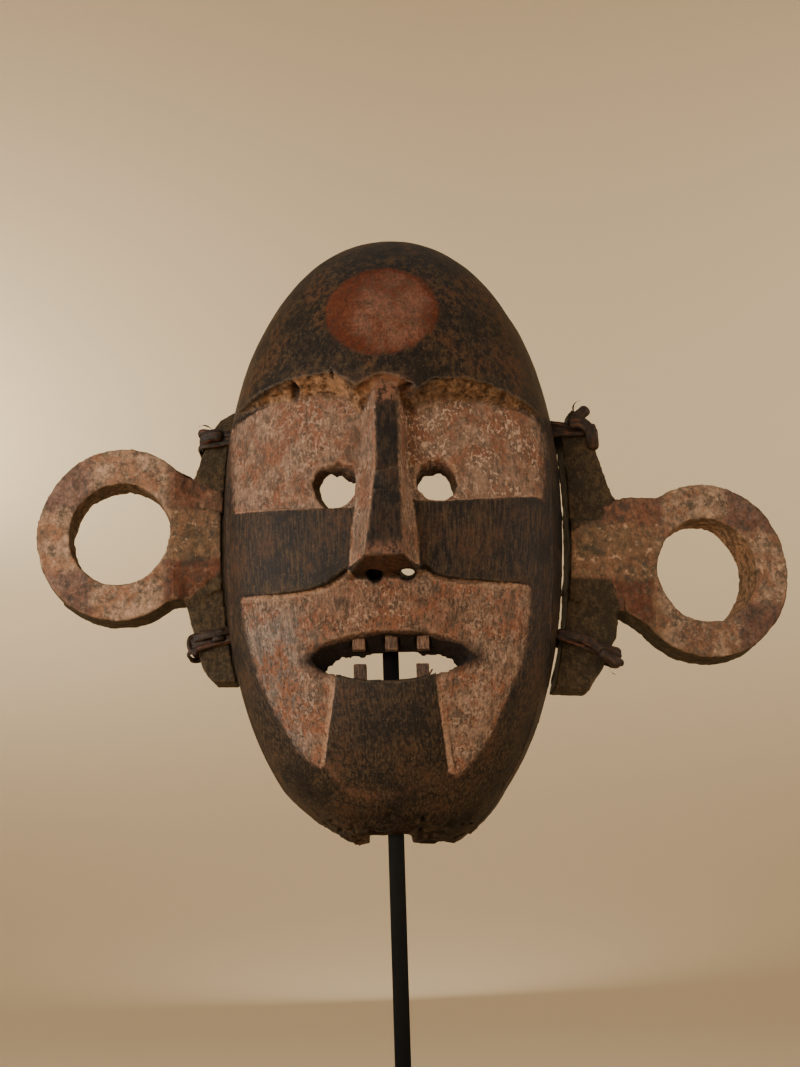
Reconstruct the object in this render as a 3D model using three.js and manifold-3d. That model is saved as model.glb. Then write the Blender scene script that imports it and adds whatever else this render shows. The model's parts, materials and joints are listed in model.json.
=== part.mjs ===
// A Boa mask with two ringed ears lashed to its rim, on a steel rod stand.
// Millimetres, +Z up. The mask looks along -Y and +X is the viewer's right. The origin
// is the middle of the stand plate's underside, on the floor.

import * as THREE from 'three';
import { mergeVertices } from 'three/addons/utils/BufferGeometryUtils.js';
import Module from 'manifold-3d';

const wasm = await Module();
wasm.setup();

// Driving sizes. The mask has its own frame: X to the viewer's right, Z along the face
// and Y backwards, with the back of the rim in the plane Y = 0. A "forward" distance is
// measured from that plane towards the viewer, so it is -Y.
const mask = {
  halfWidth: 87.5,
  top: 173,
  bottom: -149,
  widestZ: 22,
  wall: 11,
  foreheadDepth: 90,
  faceDepth: 74,
  fieldRecess: 3.7,
  cavityDepth: 60,
};

// How the mask sits on its rod: leaning back, turned and tipped a little (degrees).
const pose = { place: [2.8, 26.1, 289.9], lean: 8, turn: 3.5, tip: 1.1 };

const brow = { undersideSlope: 0.42, slopePivot: 70 };
const nose = { topZ: 68, tipZ: -22, baseForward: 48 };
const peg = { width: 6.4, depth: 5.2, height: 15 };
const ear = { thickness: 18.5, forward: 8, holeWide: 26.4, holeTall: 27.4, barSetBack: 4 };
const rightEarSweep = 13.3;
const lashing = { width: 9, thickness: 2.6, slotForward: 5 };
const rimNotch = { left: -13, right: 8, forward: 12.5 };
const stand = {
  rod: 8,
  rodTop: 411,
  crossbar: 50,
  plateWidth: 170,
  plateDepth: 140,
  plateThickness: 12,
};

const touchGap = 0.3;
const radians = THREE.MathUtils.degToRad;
const v2 = (x, y) => new THREE.Vector2(x, y);
const v3 = (x, y, z) => new THREE.Vector3(x, y, z);

// Solids: a closed geometry becomes a body that can be joined and cut, and back again.
function solid(geometry) {
  const bare = geometry.clone();
  bare.deleteAttribute('normal');
  bare.deleteAttribute('uv');
  const merged = mergeVertices(bare, 1e-4);
  const points = merged.attributes.position;
  const corners = Array.from(merged.index.array);
  const [a, b, c] = [v3(), v3(), v3()];
  let volume = 0;
  for (let i = 0; i < corners.length; i += 3) {
    a.fromBufferAttribute(points, corners[i]);
    b.fromBufferAttribute(points, corners[i + 1]);
    c.fromBufferAttribute(points, corners[i + 2]);
    volume += a.dot(b.cross(c));
  }
  // A mirrored geometry is inside out, so its corners are read the other way round.
  if (volume < 0) corners.reverse();
  return new wasm.Manifold(new wasm.Mesh({
    numProp: 3,
    vertProperties: new Float32Array(points.array),
    triVerts: new Uint32Array(corners),
  }));
}

function geometryOf(body) {
  const mesh = body.getMesh();
  const geometry = new THREE.BufferGeometry();
  geometry.setAttribute('position', new THREE.BufferAttribute(mesh.vertProperties, 3));
  geometry.setIndex(new THREE.BufferAttribute(mesh.triVerts, 1));
  geometry.computeVertexNormals();
  return geometry;
}

const mirrored = (body) => solid(geometryOf(body).scale(-1, 1, 1));

// Moves every vertex of a geometry with place(vertex).
function reshape(geometry, place) {
  const position = geometry.attributes.position;
  const vertex = v3();
  for (let i = 0; i < position.count; i += 1) {
    vertex.fromBufferAttribute(position, i);
    place(vertex);
    position.setXYZ(i, vertex.x, vertex.y, vertex.z);
  }
  return geometry;
}

// A box between two x, two forward and two z values.
function box(x0, x1, forward0, forward1, z0, z1) {
  const block = new THREE.BoxGeometry(x1 - x0, forward1 - forward0, z1 - z0);
  return block.translate((x0 + x1) / 2, -(forward0 + forward1) / 2, (z0 + z1) / 2);
}

// A prism whose outline lies in the face plane (x, z), between two forward distances.
function prism(shape, forward0, forward1, curveSegments = 8, steps = 1) {
  const settings = { depth: forward1 - forward0, bevelEnabled: false, curveSegments, steps };
  const block = new THREE.ExtrudeGeometry(shape, settings).rotateX(Math.PI / 2);
  return block.translate(0, -forward0, 0);
}

// A quarter of a superellipse: 1 at t = 0 and 0 at t = 1.
const swell = (t, power) => (1 - Math.min(1, Math.abs(t)) ** power) ** (1 / power);
const signedPower = (value, power) => Math.sign(value) * Math.abs(value) ** power;

// Outline and profiles of the mask, as functions of the height z on it.
function alongFace(z, upperPower, lowerPower, shrink = 0) {
  const upper = z > mask.widestZ;
  const reach = Math.abs((upper ? mask.top : mask.bottom) - mask.widestZ) - shrink;
  return swell((z - mask.widestZ) / reach, upper ? upperPower : lowerPower);
}

const outline = (z) => mask.halfWidth * alongFace(z, 2.1, 2.25);
const inline = (z) => (mask.halfWidth - mask.wall) * alongFace(z, 2.1, 2.25, mask.wall);

function foreheadDepth(z) {
  const straightBelow = 40;
  const rise = Math.max(0, z - straightBelow) / (mask.top - straightBelow);
  return mask.foreheadDepth * swell(rise, 2.2);
}

const faceDepth = (z) => mask.faceDepth * alongFace(z, 2.6, 2.15);

function cavityDepth(z) {
  const deepestZ = 60;
  const end = z > deepestZ ? mask.top - mask.wall : mask.bottom + mask.wall;
  return mask.cavityDepth * swell((z - deepestZ) / (end - deepestZ), 2.3);
}

// The fields are flatter than the face round them. They run out to nothing at the ridge
// of the dark border, which grows broader towards the chin.
function fieldWidth(z) {
  const belowCheek = Math.max(0, -25 - z) / 83;
  return outline(z) + 2.3 - 0.022 * z + 8 * belowCheek ** 3;
}

const fieldDepth = (z) => Math.max(0, faceDepth(z) - mask.fieldRecess);

// The chin runs a little to the viewer's right at its end.
const chinDrift = (z) => 0.185 * Math.max(0, -118 - z);

// An egg: a sphere drawn out so that every height has its own half width and depth.
function egg({ top, bottom, width, depth, across, along, rounds, rings }) {
  const sphere = new THREE.SphereGeometry(1, rounds, rings).rotateX(Math.PI / 2);
  return reshape(sphere, (v) => {
    const ring = Math.hypot(v.x, v.y);
    const onAxis = ring < 1e-6;
    const z = mask.widestZ + Math.abs(v.z) * ((v.z > 0 ? top : bottom) - mask.widestZ);
    v.x = chinDrift(z) + (onAxis ? 0 : width(z) * signedPower(v.x / ring, 2 / across));
    v.y = onAxis ? 0 : depth(z) * signedPower(v.y / ring, 2 / along);
    v.z = z;
  });
}

const foreheadEgg = () => egg({ top: mask.top, bottom: mask.bottom, width: outline,
  depth: foreheadDepth, across: 2.1, along: 2.1, rounds: 56, rings: 40 });

const faceEgg = () => egg({ top: mask.top, bottom: mask.bottom, width: outline,
  depth: faceDepth, across: 2, along: 2.55, rounds: 56, rings: 40 });

const fieldEgg = () => egg({ top: mask.top + 6, bottom: mask.bottom - 6, width: fieldWidth,
  depth: fieldDepth, across: 2, along: 2.55, rounds: 48, rings: 32 });

const cavityEgg = () => egg({ top: mask.top - mask.wall, bottom: mask.bottom + mask.wall,
  width: inline, depth: cavityDepth, across: 2.2, along: 2.4, rounds: 40, rings: 26 });

// Brow: three arcs, the middle one over the nose. The underside runs back and down.
function browPrism() {
  const shape = new THREE.Shape();
  shape.moveTo(-110, 100);
  shape.splineThru([v2(-75, 84), v2(-48, 74.3), v2(-31.7, 70.8), v2(-21.5, 67.4), v2(-11.3, 58.8)]);
  shape.quadraticCurveTo(2.5, 70.5, 18.4, 57);
  shape.splineThru([v2(26, 63), v2(44, 69.3), v2(62, 73), v2(77, 78.6), v2(110, 90)]);
  shape.lineTo(110, 230);
  shape.lineTo(-110, 230);
  return reshape(prism(shape, -5, 110), (v) => {
    v.z += brow.undersideSlope * (-v.y - brow.slopePivot);
  });
}

// Fields cut into the face: one round each eye, and one from cheek to cheek that leaves
// the chin panel standing.
function eyeField(side) {
  const [outerLow, middleLow, innerLow] = side < 0 ? [21, 10, 9] : [25.5, 11.5, 12];
  const noseX = side * 6;
  const shape = new THREE.Shape();
  shape.moveTo(side * 92, outerLow);
  shape.quadraticCurveTo(side * 55, middleLow, noseX, innerLow);
  shape.lineTo(noseX, 90);
  shape.lineTo(side * 92, 90);
  return shape;
}

function lowerField() {
  const shape = new THREE.Shape();
  shape.moveTo(-74, -26.5);
  shape.splineThru([v2(-57, -29.5), v2(-40.5, -30.1), v2(-28.3, -27.6), v2(-17, -20.5)]);
  shape.lineTo(21, -20.5);
  shape.splineThru([v2(28.3, -25.5), v2(44.5, -26.9), v2(71, -25.5)]);
  shape.splineThru([v2(68.5, -50.5), v2(52, -94), v2(34.5, -118)]);
  shape.lineTo(31, -118);
  shape.lineTo(24.6, -74);
  shape.lineTo(24.6, -60);
  shape.lineTo(-25, -60);
  shape.lineTo(-25, -74);
  shape.lineTo(-32.5, -114);
  shape.splineThru([v2(-42.5, -108.5), v2(-62, -71.8), v2(-70, -49), v2(-74, -26.5)]);
  return shape;
}

// Nose: a wedge with a flat front strip that widens towards the tip.
function noseBlock() {
  const levels = [
    { front: [-8.2, 12.2], back: [-25.5, 23], forward: 95, z: nose.tipZ, backZ: -26.7 },
    { front: [-5.8, 11.2], back: [-24.5, 23], forward: 94, z: -9, backZ: -9 },
    { front: [-1.9, 9.4], back: [-23.5, 16], forward: 88.5, z: 28.5, backZ: 28.5 },
    { front: [-3, 9], back: [-18, 13], forward: 84, z: nose.topZ, backZ: 80 },
  ];
  const block = new THREE.BoxGeometry(1, 1, 1, 1, 1, levels.length - 1);
  return reshape(block, (v) => {
    const level = levels[Math.round((v.z + 0.5) * (levels.length - 1))];
    const atFront = v.y < 0;
    const [left, right] = atFront ? level.front : level.back;
    v.x = v.x < 0 ? left : right;
    v.z = atFront ? level.z : level.backZ;
    v.y = -(atFront ? level.forward : nose.baseForward);
  });
}

// Eye holes: uneven funnels cut by hand, wider at the front. Each has an outline (x, z)
// near the outside of the wall and one at its inside, point for point.
const eyeWall = { front: 68, back: 59.5 };
const eyeHoles = [
  { front: [[-36.6, 24.8], [-34.8, 30.6], [-30.2, 33.7], [-21.1, 34.9], [-15.1, 31.1], [-13.4, 23.2],
    [-13.7, 16.6], [-19.2, 11.6], [-28.8, 10], [-33.3, 14.8]],
  back: [[-34, 24.4], [-31.2, 30.2], [-26, 32.4], [-20.6, 30.6], [-16.4, 26.4], [-13.6, 21.6],
    [-14.4, 17.6], [-20, 12.8], [-27, 11.2], [-31.8, 17]] },
  { front: [[16.2, 26.2], [18.9, 31.9], [22.8, 34.5], [30.1, 35.3], [34.7, 31.3], [36.8, 23.7],
    [35.2, 16.4], [29.8, 12.6], [21.6, 13.9], [16.8, 19.5]],
  back: [[16.2, 23.2], [19.6, 28.8], [24.6, 30], [30.4, 30.6], [32.8, 27], [33.8, 22.5],
    [33.8, 17.4], [29, 13.4], [21.4, 14.2], [16.8, 19]] },
];

function eyeFunnel({ front, back }) {
  const count = front.length;
  const middle = (points, axis) => points.reduce((sum, p) => sum + p[axis], 0) / count;
  const [frontMiddle, backMiddle] = [front, back].map((p) => [middle(p, 0), middle(p, 1)]);
  return reshape(new THREE.CylinderGeometry(1, 1, 1, count), (v) => {
    const onAxis = Math.hypot(v.x, v.z) < 1e-6;
    const turn = Math.atan2(v.x, v.z) / (2 * Math.PI) + 1;
    const i = Math.round(turn * count) % count;
    const [nearX, nearZ] = onAxis ? frontMiddle : front[i];
    const [farX, farZ] = onAxis ? backMiddle : back[i];
    // Both ends run on past the wall's faces.
    const along = v.y < 0 ? 1.8 : -0.9;
    v.x = farX + (nearX - farX) * along;
    v.z = farZ + (nearZ - farZ) * along;
    v.y = -(eyeWall.back + (eyeWall.front - eyeWall.back) * along);
  });
}

// Mouth: a lens whose upper wall and corners run back and down, steeper further in, while
// the lower wall runs level.
function mouthCut() {
  const [cornerZ, lowest, lipForward, narrowing] = [-63.5, -75, 62, 0.011];
  const shape = new THREE.Shape();
  shape.moveTo(-40.5, cornerZ);
  shape.bezierCurveTo(-32, -55, -14, -51.9, 3, -51.7);
  shape.bezierCurveTo(22, -51.6, 35, -54.5, 45.5, cornerZ);
  shape.bezierCurveTo(33, -70.5, 18, -74.9, 0, lowest);
  shape.bezierCurveTo(-18, -74.8, -32, -70.5, -40.5, cornerZ);
  return reshape(prism(shape, 34, 82, 6, 6), (v) => {
    const inwards = lipForward + v.y;
    const behind = inwards - 10 * ((v.x - 2) / 42) ** 2;
    const drop = Math.min(8.8, 0.34 * behind + 0.046 * Math.max(0, behind) ** 2);
    v.x = 2 + (v.x - 2) * (1 - narrowing * inwards);
    v.z -= drop * Math.min(1, (v.z - lowest) / (cornerZ - lowest));
  });
}

// Nostrils: the one on the viewer's right is bored through, the other is blind.
const nostrils = [{ x: -4.5, rise: 35, deep: 8.5 }, { x: 11.3, rise: 27, deep: 23 }];

function nostril({ x, rise, deep }) {
  const reach = 23;
  const bore = new THREE.CylinderGeometry(3.8, 3.8, reach + deep, 12);
  bore.translate(0, (deep - reach) / 2, 0);
  return bore.rotateX(radians(rise)).translate(x, -68, -23.2);
}

// Teeth: square wooden pegs whose hidden ends sit in sockets in the lips.
const teeth = {
  tooth_upper_left: { x: -13.4, low: -58.8, forward: 56 },
  tooth_upper_middle: { x: 2.6, low: -59.4, forward: 56.5 },
  tooth_upper_right: { x: 18, low: -59.4, forward: 56 },
  tooth_lower_left: { x: -12.8, low: -80.7, forward: 56 },
  tooth_lower_right: { x: 17.6, low: -81.2, forward: 56 },
};

function tooth({ x, low, forward }, grow = 0) {
  const [wide, deep] = [peg.width / 2 + grow, peg.depth / 2 + grow];
  return box(x - wide, x + wide, forward - deep, forward + deep, low - grow,
    low + peg.height + grow);
}

// Ears. Each is a ring, a faceted neck and the bar that backs it, carved from one board.
// They are drawn on the viewer's right, x growing outwards; the left one is mirrored.
const ears = {
  ear_left: {
    gap: 1.2,
    ring: { x: 142, z: 18.7, wide: 43.4, tall: 46.6 },
    neck: { top: [105.2, 49.4], bottom: [107.6, -16.8] },
    bar: [[82, 85.5], [89.6, 81.1], [94.9, 74.5], [99.2, 63], [103.1, 52], [107.8, 31],
      [108.8, 1], [107.6, -16.8], [102.7, -35], [100.7, -44], [97.8, -54], [92, -60.6]],
    facets: [{ edge: 31.4, end: 43, skew: 0.72, outer: 114 },
      { edge: 3.4, end: -8, skew: -0.79, outer: 114 }],
  },
  ear_right: {
    gap: 4.2,
    ring: { x: 163.2, z: -5.3, wide: 43, tall: 46.4 },
    neck: { top: [116.4, 31.6], bottom: [116.6, -27.2] },
    bar: [[90, 73], [93.5, 73.5], [94.5, 80], [101.5, 79.5], [103, 71], [107.5, 57], [110.8, 46.4],
      [116.4, 31.6], [117, -1], [116.5, -27.2], [114.7, -42.3], [111.7, -47], [107.5, -57],
      [99.5, -69.4]],
    facets: [{ edge: 18.8, end: 30, skew: 0.3, outer: 119 },
      { edge: -12.5, end: -21, skew: -0.4, outer: 119 }],
  },
};

function barShape({ bar, gap }) {
  const [topZ, bottomZ] = [bar[0][1], bar[bar.length - 1][1]];
  const steps = 10;
  const points = bar.map(([x, z]) => v2(x, z));
  for (let i = 0; i <= steps; i += 1) {
    const z = bottomZ + (topZ - bottomZ) * (i / steps);
    points.push(v2(outline(z) + gap, z));
  }
  return new THREE.Shape(points);
}

function neckShape({ ring, neck }) {
  const [[topX, topZ], [bottomX, bottomZ]] = [neck.top, neck.bottom];
  return new THREE.Shape([v2(topX - 8, topZ - 8), v2(topX, topZ),
    v2(ring.x - 20, ring.z + 38), v2(ring.x, ring.z + 38), v2(ring.x, ring.z - 38),
    v2(ring.x - 20, ring.z - 38), v2(bottomX, bottomZ), v2(bottomX - 8, bottomZ + 8)]);
}

function round(x, z, wide, tall) {
  const shape = new THREE.Shape();
  shape.absellipse(x, z, wide, tall, 0, Math.PI * 2);
  return shape;
}

// Sets the bar's front back beyond the light band of the neck, with a slanted facet
// between the two levels.
function facetCut({ edge, end, skew, outer }) {
  const far = end > edge ? 140 : -140;
  const profile = new THREE.Shape([v2(edge, 0), v2(end, -ear.barSetBack),
    v2(far, -ear.barSetBack), v2(far, 6), v2(edge, 6)]);
  const innerX = 55;
  const settings = { depth: outer - innerX, bevelEnabled: false };
  return reshape(new THREE.ExtrudeGeometry(profile, settings), (v) => {
    const [x, height] = [innerX + v.z, v.y];
    const z = Math.abs(v.x - end) < 1e-3 ? v.x + skew * (x - 95) : v.x;
    v.set(x, -ear.forward - height, z);
  });
}

function earBody(spec) {
  const back = ear.forward - ear.thickness;
  const { ring } = spec;
  const disc = round(ring.x, ring.z, ring.wide, ring.tall);
  const hole = round(ring.x, ring.z, ear.holeWide, ear.holeTall);
  let body = solid(prism(barShape(spec), back, ear.forward));
  body = body.add(solid(prism(neckShape(spec), back, ear.forward)));
  body = body.add(solid(prism(disc, back, ear.forward, 20)));
  body = body.subtract(solid(prism(hole, back - 5, ear.forward + 5, 15)));
  for (const facet of spec.facets) body = body.subtract(solid(facetCut(facet)));
  return body;
}

// Lashings: flat bands through a slot in the mask's rim and round an ear's bar.
const lashings = {
  lashing_left_top: { side: -1, z: 69.5, ear: 'ear_left' },
  lashing_left_bottom: { side: -1, z: -38.5, ear: 'ear_left' },
  lashing_right_top: { side: 1, z: 67.5, ear: 'ear_right' },
  lashing_right_bottom: { side: 1, z: -44, ear: 'ear_right' },
};

// Outer edge of a bar at height z, read from its outline.
function barOuter(bar, z) {
  const after = bar.findIndex(([, cornerZ]) => cornerZ < z);
  const [[x0, z0], [x1, z1]] = [bar[Math.max(0, after - 1)], bar[after]];
  return x0 + (x1 - x0) * ((z0 - z) / (z0 - z1));
}

const earPivot = { x: 93.9, forward: ear.forward };

// A point of an ear's section, turned back about the pivot if the ear is swept.
function swept(x, forward, sweep) {
  const turned = v2(x - earPivot.x, forward - earPivot.forward)
    .rotateAround(v2(0, 0), -radians(sweep));
  return v2(earPivot.x + turned.x, earPivot.forward + turned.y);
}

// The loop's inner line in a level section, as (x, forward) points.
function loopPoints({ side, z, ear: name }) {
  const { bar, gap } = ears[name];
  const sweep = side > 0 ? rightEarSweep : 0;
  const half = lashing.width / 2;
  const outer = Math.max(barOuter(bar, z - half), barOuter(bar, z + half)) + touchGap;
  const rim = Math.min(outline(z - half), outline(z + half));
  const inner = rim + gap;
  const front = ear.forward - ear.barSetBack + touchGap;
  const back = ear.forward - ear.thickness - touchGap;
  const inside = rim - mask.wall - 4;
  const slot = Math.max(lashing.slotForward, swept(inner - 1, front, sweep).y + touchGap);
  return [v2(inside, slot), v2(inner - 1, slot), swept(inner + 4, front, sweep),
    swept(outer, front, sweep), swept(outer, back, sweep),
    swept(inner - 1, back, sweep), v2(inside, -touchGap - 0.2)];
}

// The same line moved outwards by a distance.
function offsetLoop(points, distance) {
  return points.map((here, i) => {
    const before = points[(i + points.length - 1) % points.length];
    const after = points[(i + 1) % points.length];
    const n1 = here.clone().sub(before).normalize().rotateAround(v2(0, 0), Math.PI / 2);
    const n2 = after.clone().sub(here).normalize().rotateAround(v2(0, 0), Math.PI / 2);
    const reach = distance / Math.max(0.5, (1 + n1.dot(n2)) / 2);
    return here.clone().addScaledVector(n1.add(n2).multiplyScalar(0.5), reach);
  });
}

function lashingBand(spec, grow = 0) {
  const points = loopPoints(spec);
  const shape = new THREE.Shape(offsetLoop(points, lashing.thickness + grow));
  shape.holes.push(new THREE.Path(offsetLoop(points, -grow).reverse()));
  const width = lashing.width + 2 * grow;
  const band = new THREE.ExtrudeGeometry(shape, { depth: width, bevelEnabled: false });
  band.rotateX(Math.PI);
  reshape(band, (v) => { v.z += spec.z + width / 2; });
  const body = solid(band);
  return spec.side < 0 ? mirrored(body) : body;
}

// The mask itself: one hollow block of wood, carved with everything above.
function maskBody() {
  let body = solid(faceEgg());
  const field = solid(fieldEgg());
  for (const shape of [eyeField(-1), eyeField(1), lowerField()]) {
    body = body.subtract(solid(prism(shape, 0, 130, 6)).subtract(field));
  }
  body = body.add(solid(foreheadEgg()).intersect(solid(browPrism())));
  body = body.add(solid(noseBlock()));
  body = body.subtract(solid(cavityEgg()));
  for (const hole of eyeHoles) body = body.subtract(solid(eyeFunnel(hole)));
  body = body.subtract(solid(mouthCut()));
  for (const hole of nostrils) body = body.subtract(solid(nostril(hole)));
  for (const place of Object.values(teeth)) body = body.subtract(solid(tooth(place, touchGap)));
  for (const spec of Object.values(lashings)) body = body.subtract(lashingBand(spec, touchGap));
  body = body.subtract(solid(box(-200, 200, -200, 0, -300, 300)));
  const wornChin = box(-90, 90, -20, 60, -40, 0).rotateX(-radians(11)).translate(0, 0, -145);
  body = body.subtract(solid(wornChin));
  const { left, right, forward } = rimNotch;
  return body.subtract(solid(box(left, right, -5, forward, -170, -128)));
}

function standRod() {
  const half = stand.rod / 2;
  const upright = box(-half, half, -half, half, stand.plateThickness + touchGap, stand.rodTop);
  const reach = stand.crossbar / 2;
  const bar = box(-reach, reach, -half, half, stand.rodTop - stand.rod, stand.rodTop);
  return solid(upright).add(solid(bar));
}

// Materials
const finish = (color, roughness, metalness = 0) => (
  new THREE.MeshStandardMaterial({ color, roughness, metalness }));
const patinatedWood = finish('#3a2c22', 0.62);
const paintedWood = finish('#94684c', 0.78);
const pegWood = finish('#7a513b', 0.75);
const splitCane = finish('#35231c', 0.6);
const blackSteel = finish('#17181a', 0.5, 0.6);

function mesh(name, body, material) {
  const piece = new THREE.Mesh(geometryOf(body), material);
  piece.name = name;
  return piece;
}

const part = new THREE.Group();
const head = new THREE.Group();
head.position.set(...pose.place);
head.rotation.set(-radians(pose.lean), radians(pose.tip), -radians(pose.turn), 'XZY');
part.add(head);

head.add(mesh('mask', maskBody(), patinatedWood));
for (const [name, place] of Object.entries(teeth)) {
  head.add(mesh(name, solid(tooth(place)), pegWood));
}

head.add(mesh('ear_left', mirrored(earBody(ears.ear_left)), paintedWood));
const rightEar = mesh('ear_right', earBody(ears.ear_right), paintedWood);
rightEar.geometry.translate(-earPivot.x, earPivot.forward, 0);
rightEar.position.set(earPivot.x, -earPivot.forward, 0);
rightEar.rotation.z = radians(rightEarSweep);
head.add(rightEar);

for (const [name, spec] of Object.entries(lashings)) {
  head.add(mesh(name, lashingBand(spec), splitCane));
}

const { plateWidth, plateDepth, plateThickness } = stand;
const plate = new THREE.BoxGeometry(plateWidth, plateDepth, plateThickness)
  .translate(0, 0, plateThickness / 2);
part.add(mesh('stand_plate', solid(plate), blackSteel));
part.add(mesh('stand_rod', standRod(), blackSteel));

export default part;
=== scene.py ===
# %% [markdown]
# A hollow wooden mask with two ringed ears, lashed to its rim with split cane and held up
# on a steel rod. This lesson dresses a model that already has its right sizes. Every piece
# starts from a plain solid, is rebuilt in small even faces, is carved a little more by
# moving those faces, and gets a finish made of nodes.

# %% Open the plain model
import json
import math

import bmesh
import bpy
import numpy as np
from mathutils import Matrix, Vector

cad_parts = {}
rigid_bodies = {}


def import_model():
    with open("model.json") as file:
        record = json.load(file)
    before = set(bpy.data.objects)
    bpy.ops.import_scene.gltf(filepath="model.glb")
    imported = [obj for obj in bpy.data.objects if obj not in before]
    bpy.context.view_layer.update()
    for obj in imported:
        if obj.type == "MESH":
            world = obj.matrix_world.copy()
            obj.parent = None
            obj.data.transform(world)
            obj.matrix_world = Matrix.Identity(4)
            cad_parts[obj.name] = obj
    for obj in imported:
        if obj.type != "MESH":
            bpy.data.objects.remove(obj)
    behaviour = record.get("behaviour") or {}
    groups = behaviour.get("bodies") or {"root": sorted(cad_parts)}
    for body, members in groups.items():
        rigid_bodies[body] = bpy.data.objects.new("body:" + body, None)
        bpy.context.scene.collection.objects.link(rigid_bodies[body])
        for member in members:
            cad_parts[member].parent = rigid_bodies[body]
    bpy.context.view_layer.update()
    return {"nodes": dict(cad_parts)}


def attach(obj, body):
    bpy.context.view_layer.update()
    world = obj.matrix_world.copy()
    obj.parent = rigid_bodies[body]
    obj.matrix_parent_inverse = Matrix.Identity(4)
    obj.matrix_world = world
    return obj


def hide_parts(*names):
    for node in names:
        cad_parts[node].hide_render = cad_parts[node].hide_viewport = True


for leftover in list(bpy.data.objects):
    bpy.data.objects.remove(leftover)

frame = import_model()
print("plain model:", sorted(frame["nodes"]))

# %% [markdown]
# The mask leans back, turns and tips a little on its rod. A carver measures it square to
# its own back, so places on it are given in its own frame: x to the viewer's right,
# forward out of the plane of the rim, and z up along the face, all in millimetres. One
# matrix leads from that frame to the room and back.

# %% The mask's own frame
MM = 0.001
HEAD_PLACE = Vector((2.8, 26.1, 289.9)) * MM
LEAN, TURN, TIP = (math.radians(angle) for angle in (8, 3.5, 1.1))

head = Matrix.Translation(HEAD_PLACE)
head = head @ Matrix.Rotation(-LEAN, 4, "X")
head = head @ Matrix.Rotation(-TURN, 4, "Z")
head = head @ Matrix.Rotation(TIP, 4, "Y")
to_room = np.array(head)
to_mask = np.array(head.inverted())
FLIP = np.array([1, -1, 1])


def on_mask(points):
    """Room points in metres as columns x, forward and z on the mask, in millimetres."""
    return (points @ to_mask[:3, :3].T + to_mask[:3, 3]) * FLIP / MM


def in_room(points):
    """The way back: columns x, forward and z in millimetres as room points in metres."""
    return (points * FLIP * MM) @ to_room[:3, :3].T + to_room[:3, 3]


def turned_to_mask(directions):
    return (directions @ to_mask[:3, :3].T) * FLIP


NOSE_TIP = (2, 95, -22)
nose_tip = in_room(np.array([NOSE_TIP]))[0]
print("the tip of the nose stands at", np.round(nose_tip, 3))

# %% [markdown]
# The camera stands 1.2 m in front of the mask, low down, and looks up at it by 8.5
# degrees. A long lens from that distance keeps the ears and the forehead in proportion.

# %% Camera
def linked(name, data):
    """A new object in the scene."""
    made = bpy.data.objects.new(name, data)
    bpy.context.scene.collection.objects.link(made)
    return made


CAMERA_PLACE = Vector((6.6, -1201.2, 122.63)) * MM
LOOK = Vector((0, 0.98902, 0.14781))
CAMERA_TOP = Vector((0.03106186, -0.14773809, 0.98853863))
IMAGE_TALL, FOCAL_PIXELS, SENSOR = 1067, 2400, 36

lens = bpy.data.cameras.new("long lens")
lens.sensor_fit = "VERTICAL"
lens.sensor_height = SENSOR
lens.lens = FOCAL_PIXELS / IMAGE_TALL * SENSOR
camera = linked("camera", lens)
to_right = LOOK.cross(CAMERA_TOP).normalized()
upright = to_right.cross(LOOK).normalized()
aim = Matrix((to_right, upright, -LOOK.normalized())).transposed()
camera.matrix_world = Matrix.Translation(CAMERA_PLACE) @ aim.to_4x4()
bpy.context.scene.camera = camera
print("lens", round(lens.lens, 1), "mm")

# %% [markdown]
# The room is a wide round floor that curves up into a wall, like a bowl. From any side the
# mask then stands before the same pale paper, with no corner or horizon behind it. A
# profile of a few points, turned round the upright axis, makes the whole bowl.

# %% Paper bowl
FLOOR_RADIUS, BEND, WALL_TOP, SPOKES = 1.0, 2.4, 4.0, 96

bend = [(FLOOR_RADIUS + BEND * math.sin(a), BEND * (1 - math.cos(a)))
        for a in np.linspace(0, math.pi / 2, 25)]
profile = [(0.5, 0), *bend, (FLOOR_RADIUS + BEND, WALL_TOP)]


def bowl():
    points = [(0, 0, 0)]
    faces = []
    for radius, height in profile:
        for spoke in range(SPOKES):
            angle = 2 * math.pi * spoke / SPOKES
            points.append((radius * math.cos(angle), radius * math.sin(angle), height))
    for spoke in range(SPOKES):
        after = (spoke + 1) % SPOKES
        faces.append((0, 1 + spoke, 1 + after))
        for ring in range(len(profile) - 1):
            low, high = 1 + ring * SPOKES, 1 + (ring + 1) * SPOKES
            faces.append((low + spoke, high + spoke, high + after, low + after))
    mesh = bpy.data.meshes.new("paper_bowl")
    mesh.from_pydata(points, [], faces)
    mesh.shade_smooth()
    return mesh


backdrop = linked("paper_bowl", bowl())
print("bowl of", len(backdrop.data.polygons), "faces")

# %% [markdown]
# The light is warm and soft. A broad lamp stands in front on the left at the height of the
# mask, so the forehead darkens towards its top and the underside of the brow is lit. A
# weaker one fills from the right, a small one lies low, two graze the rims from the sides,
# and the last four throw a pool of light on the paper behind, brightest to the left.

# %% Lamps
TARGET = (0, 0, 0.3)


def softbox(name, place, size, power, colour, target=TARGET):
    light = bpy.data.lights.new(name, "AREA")
    light.shape = "DISK"
    light.size = size
    light.energy = power
    light.color = colour
    lamp = linked(name, light)
    lamp.location = place
    lamp.rotation_euler = (Vector(target) - Vector(place)).to_track_quat("-Z", "Y").to_euler()
    lamp.visible_camera = False
    return lamp


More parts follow.
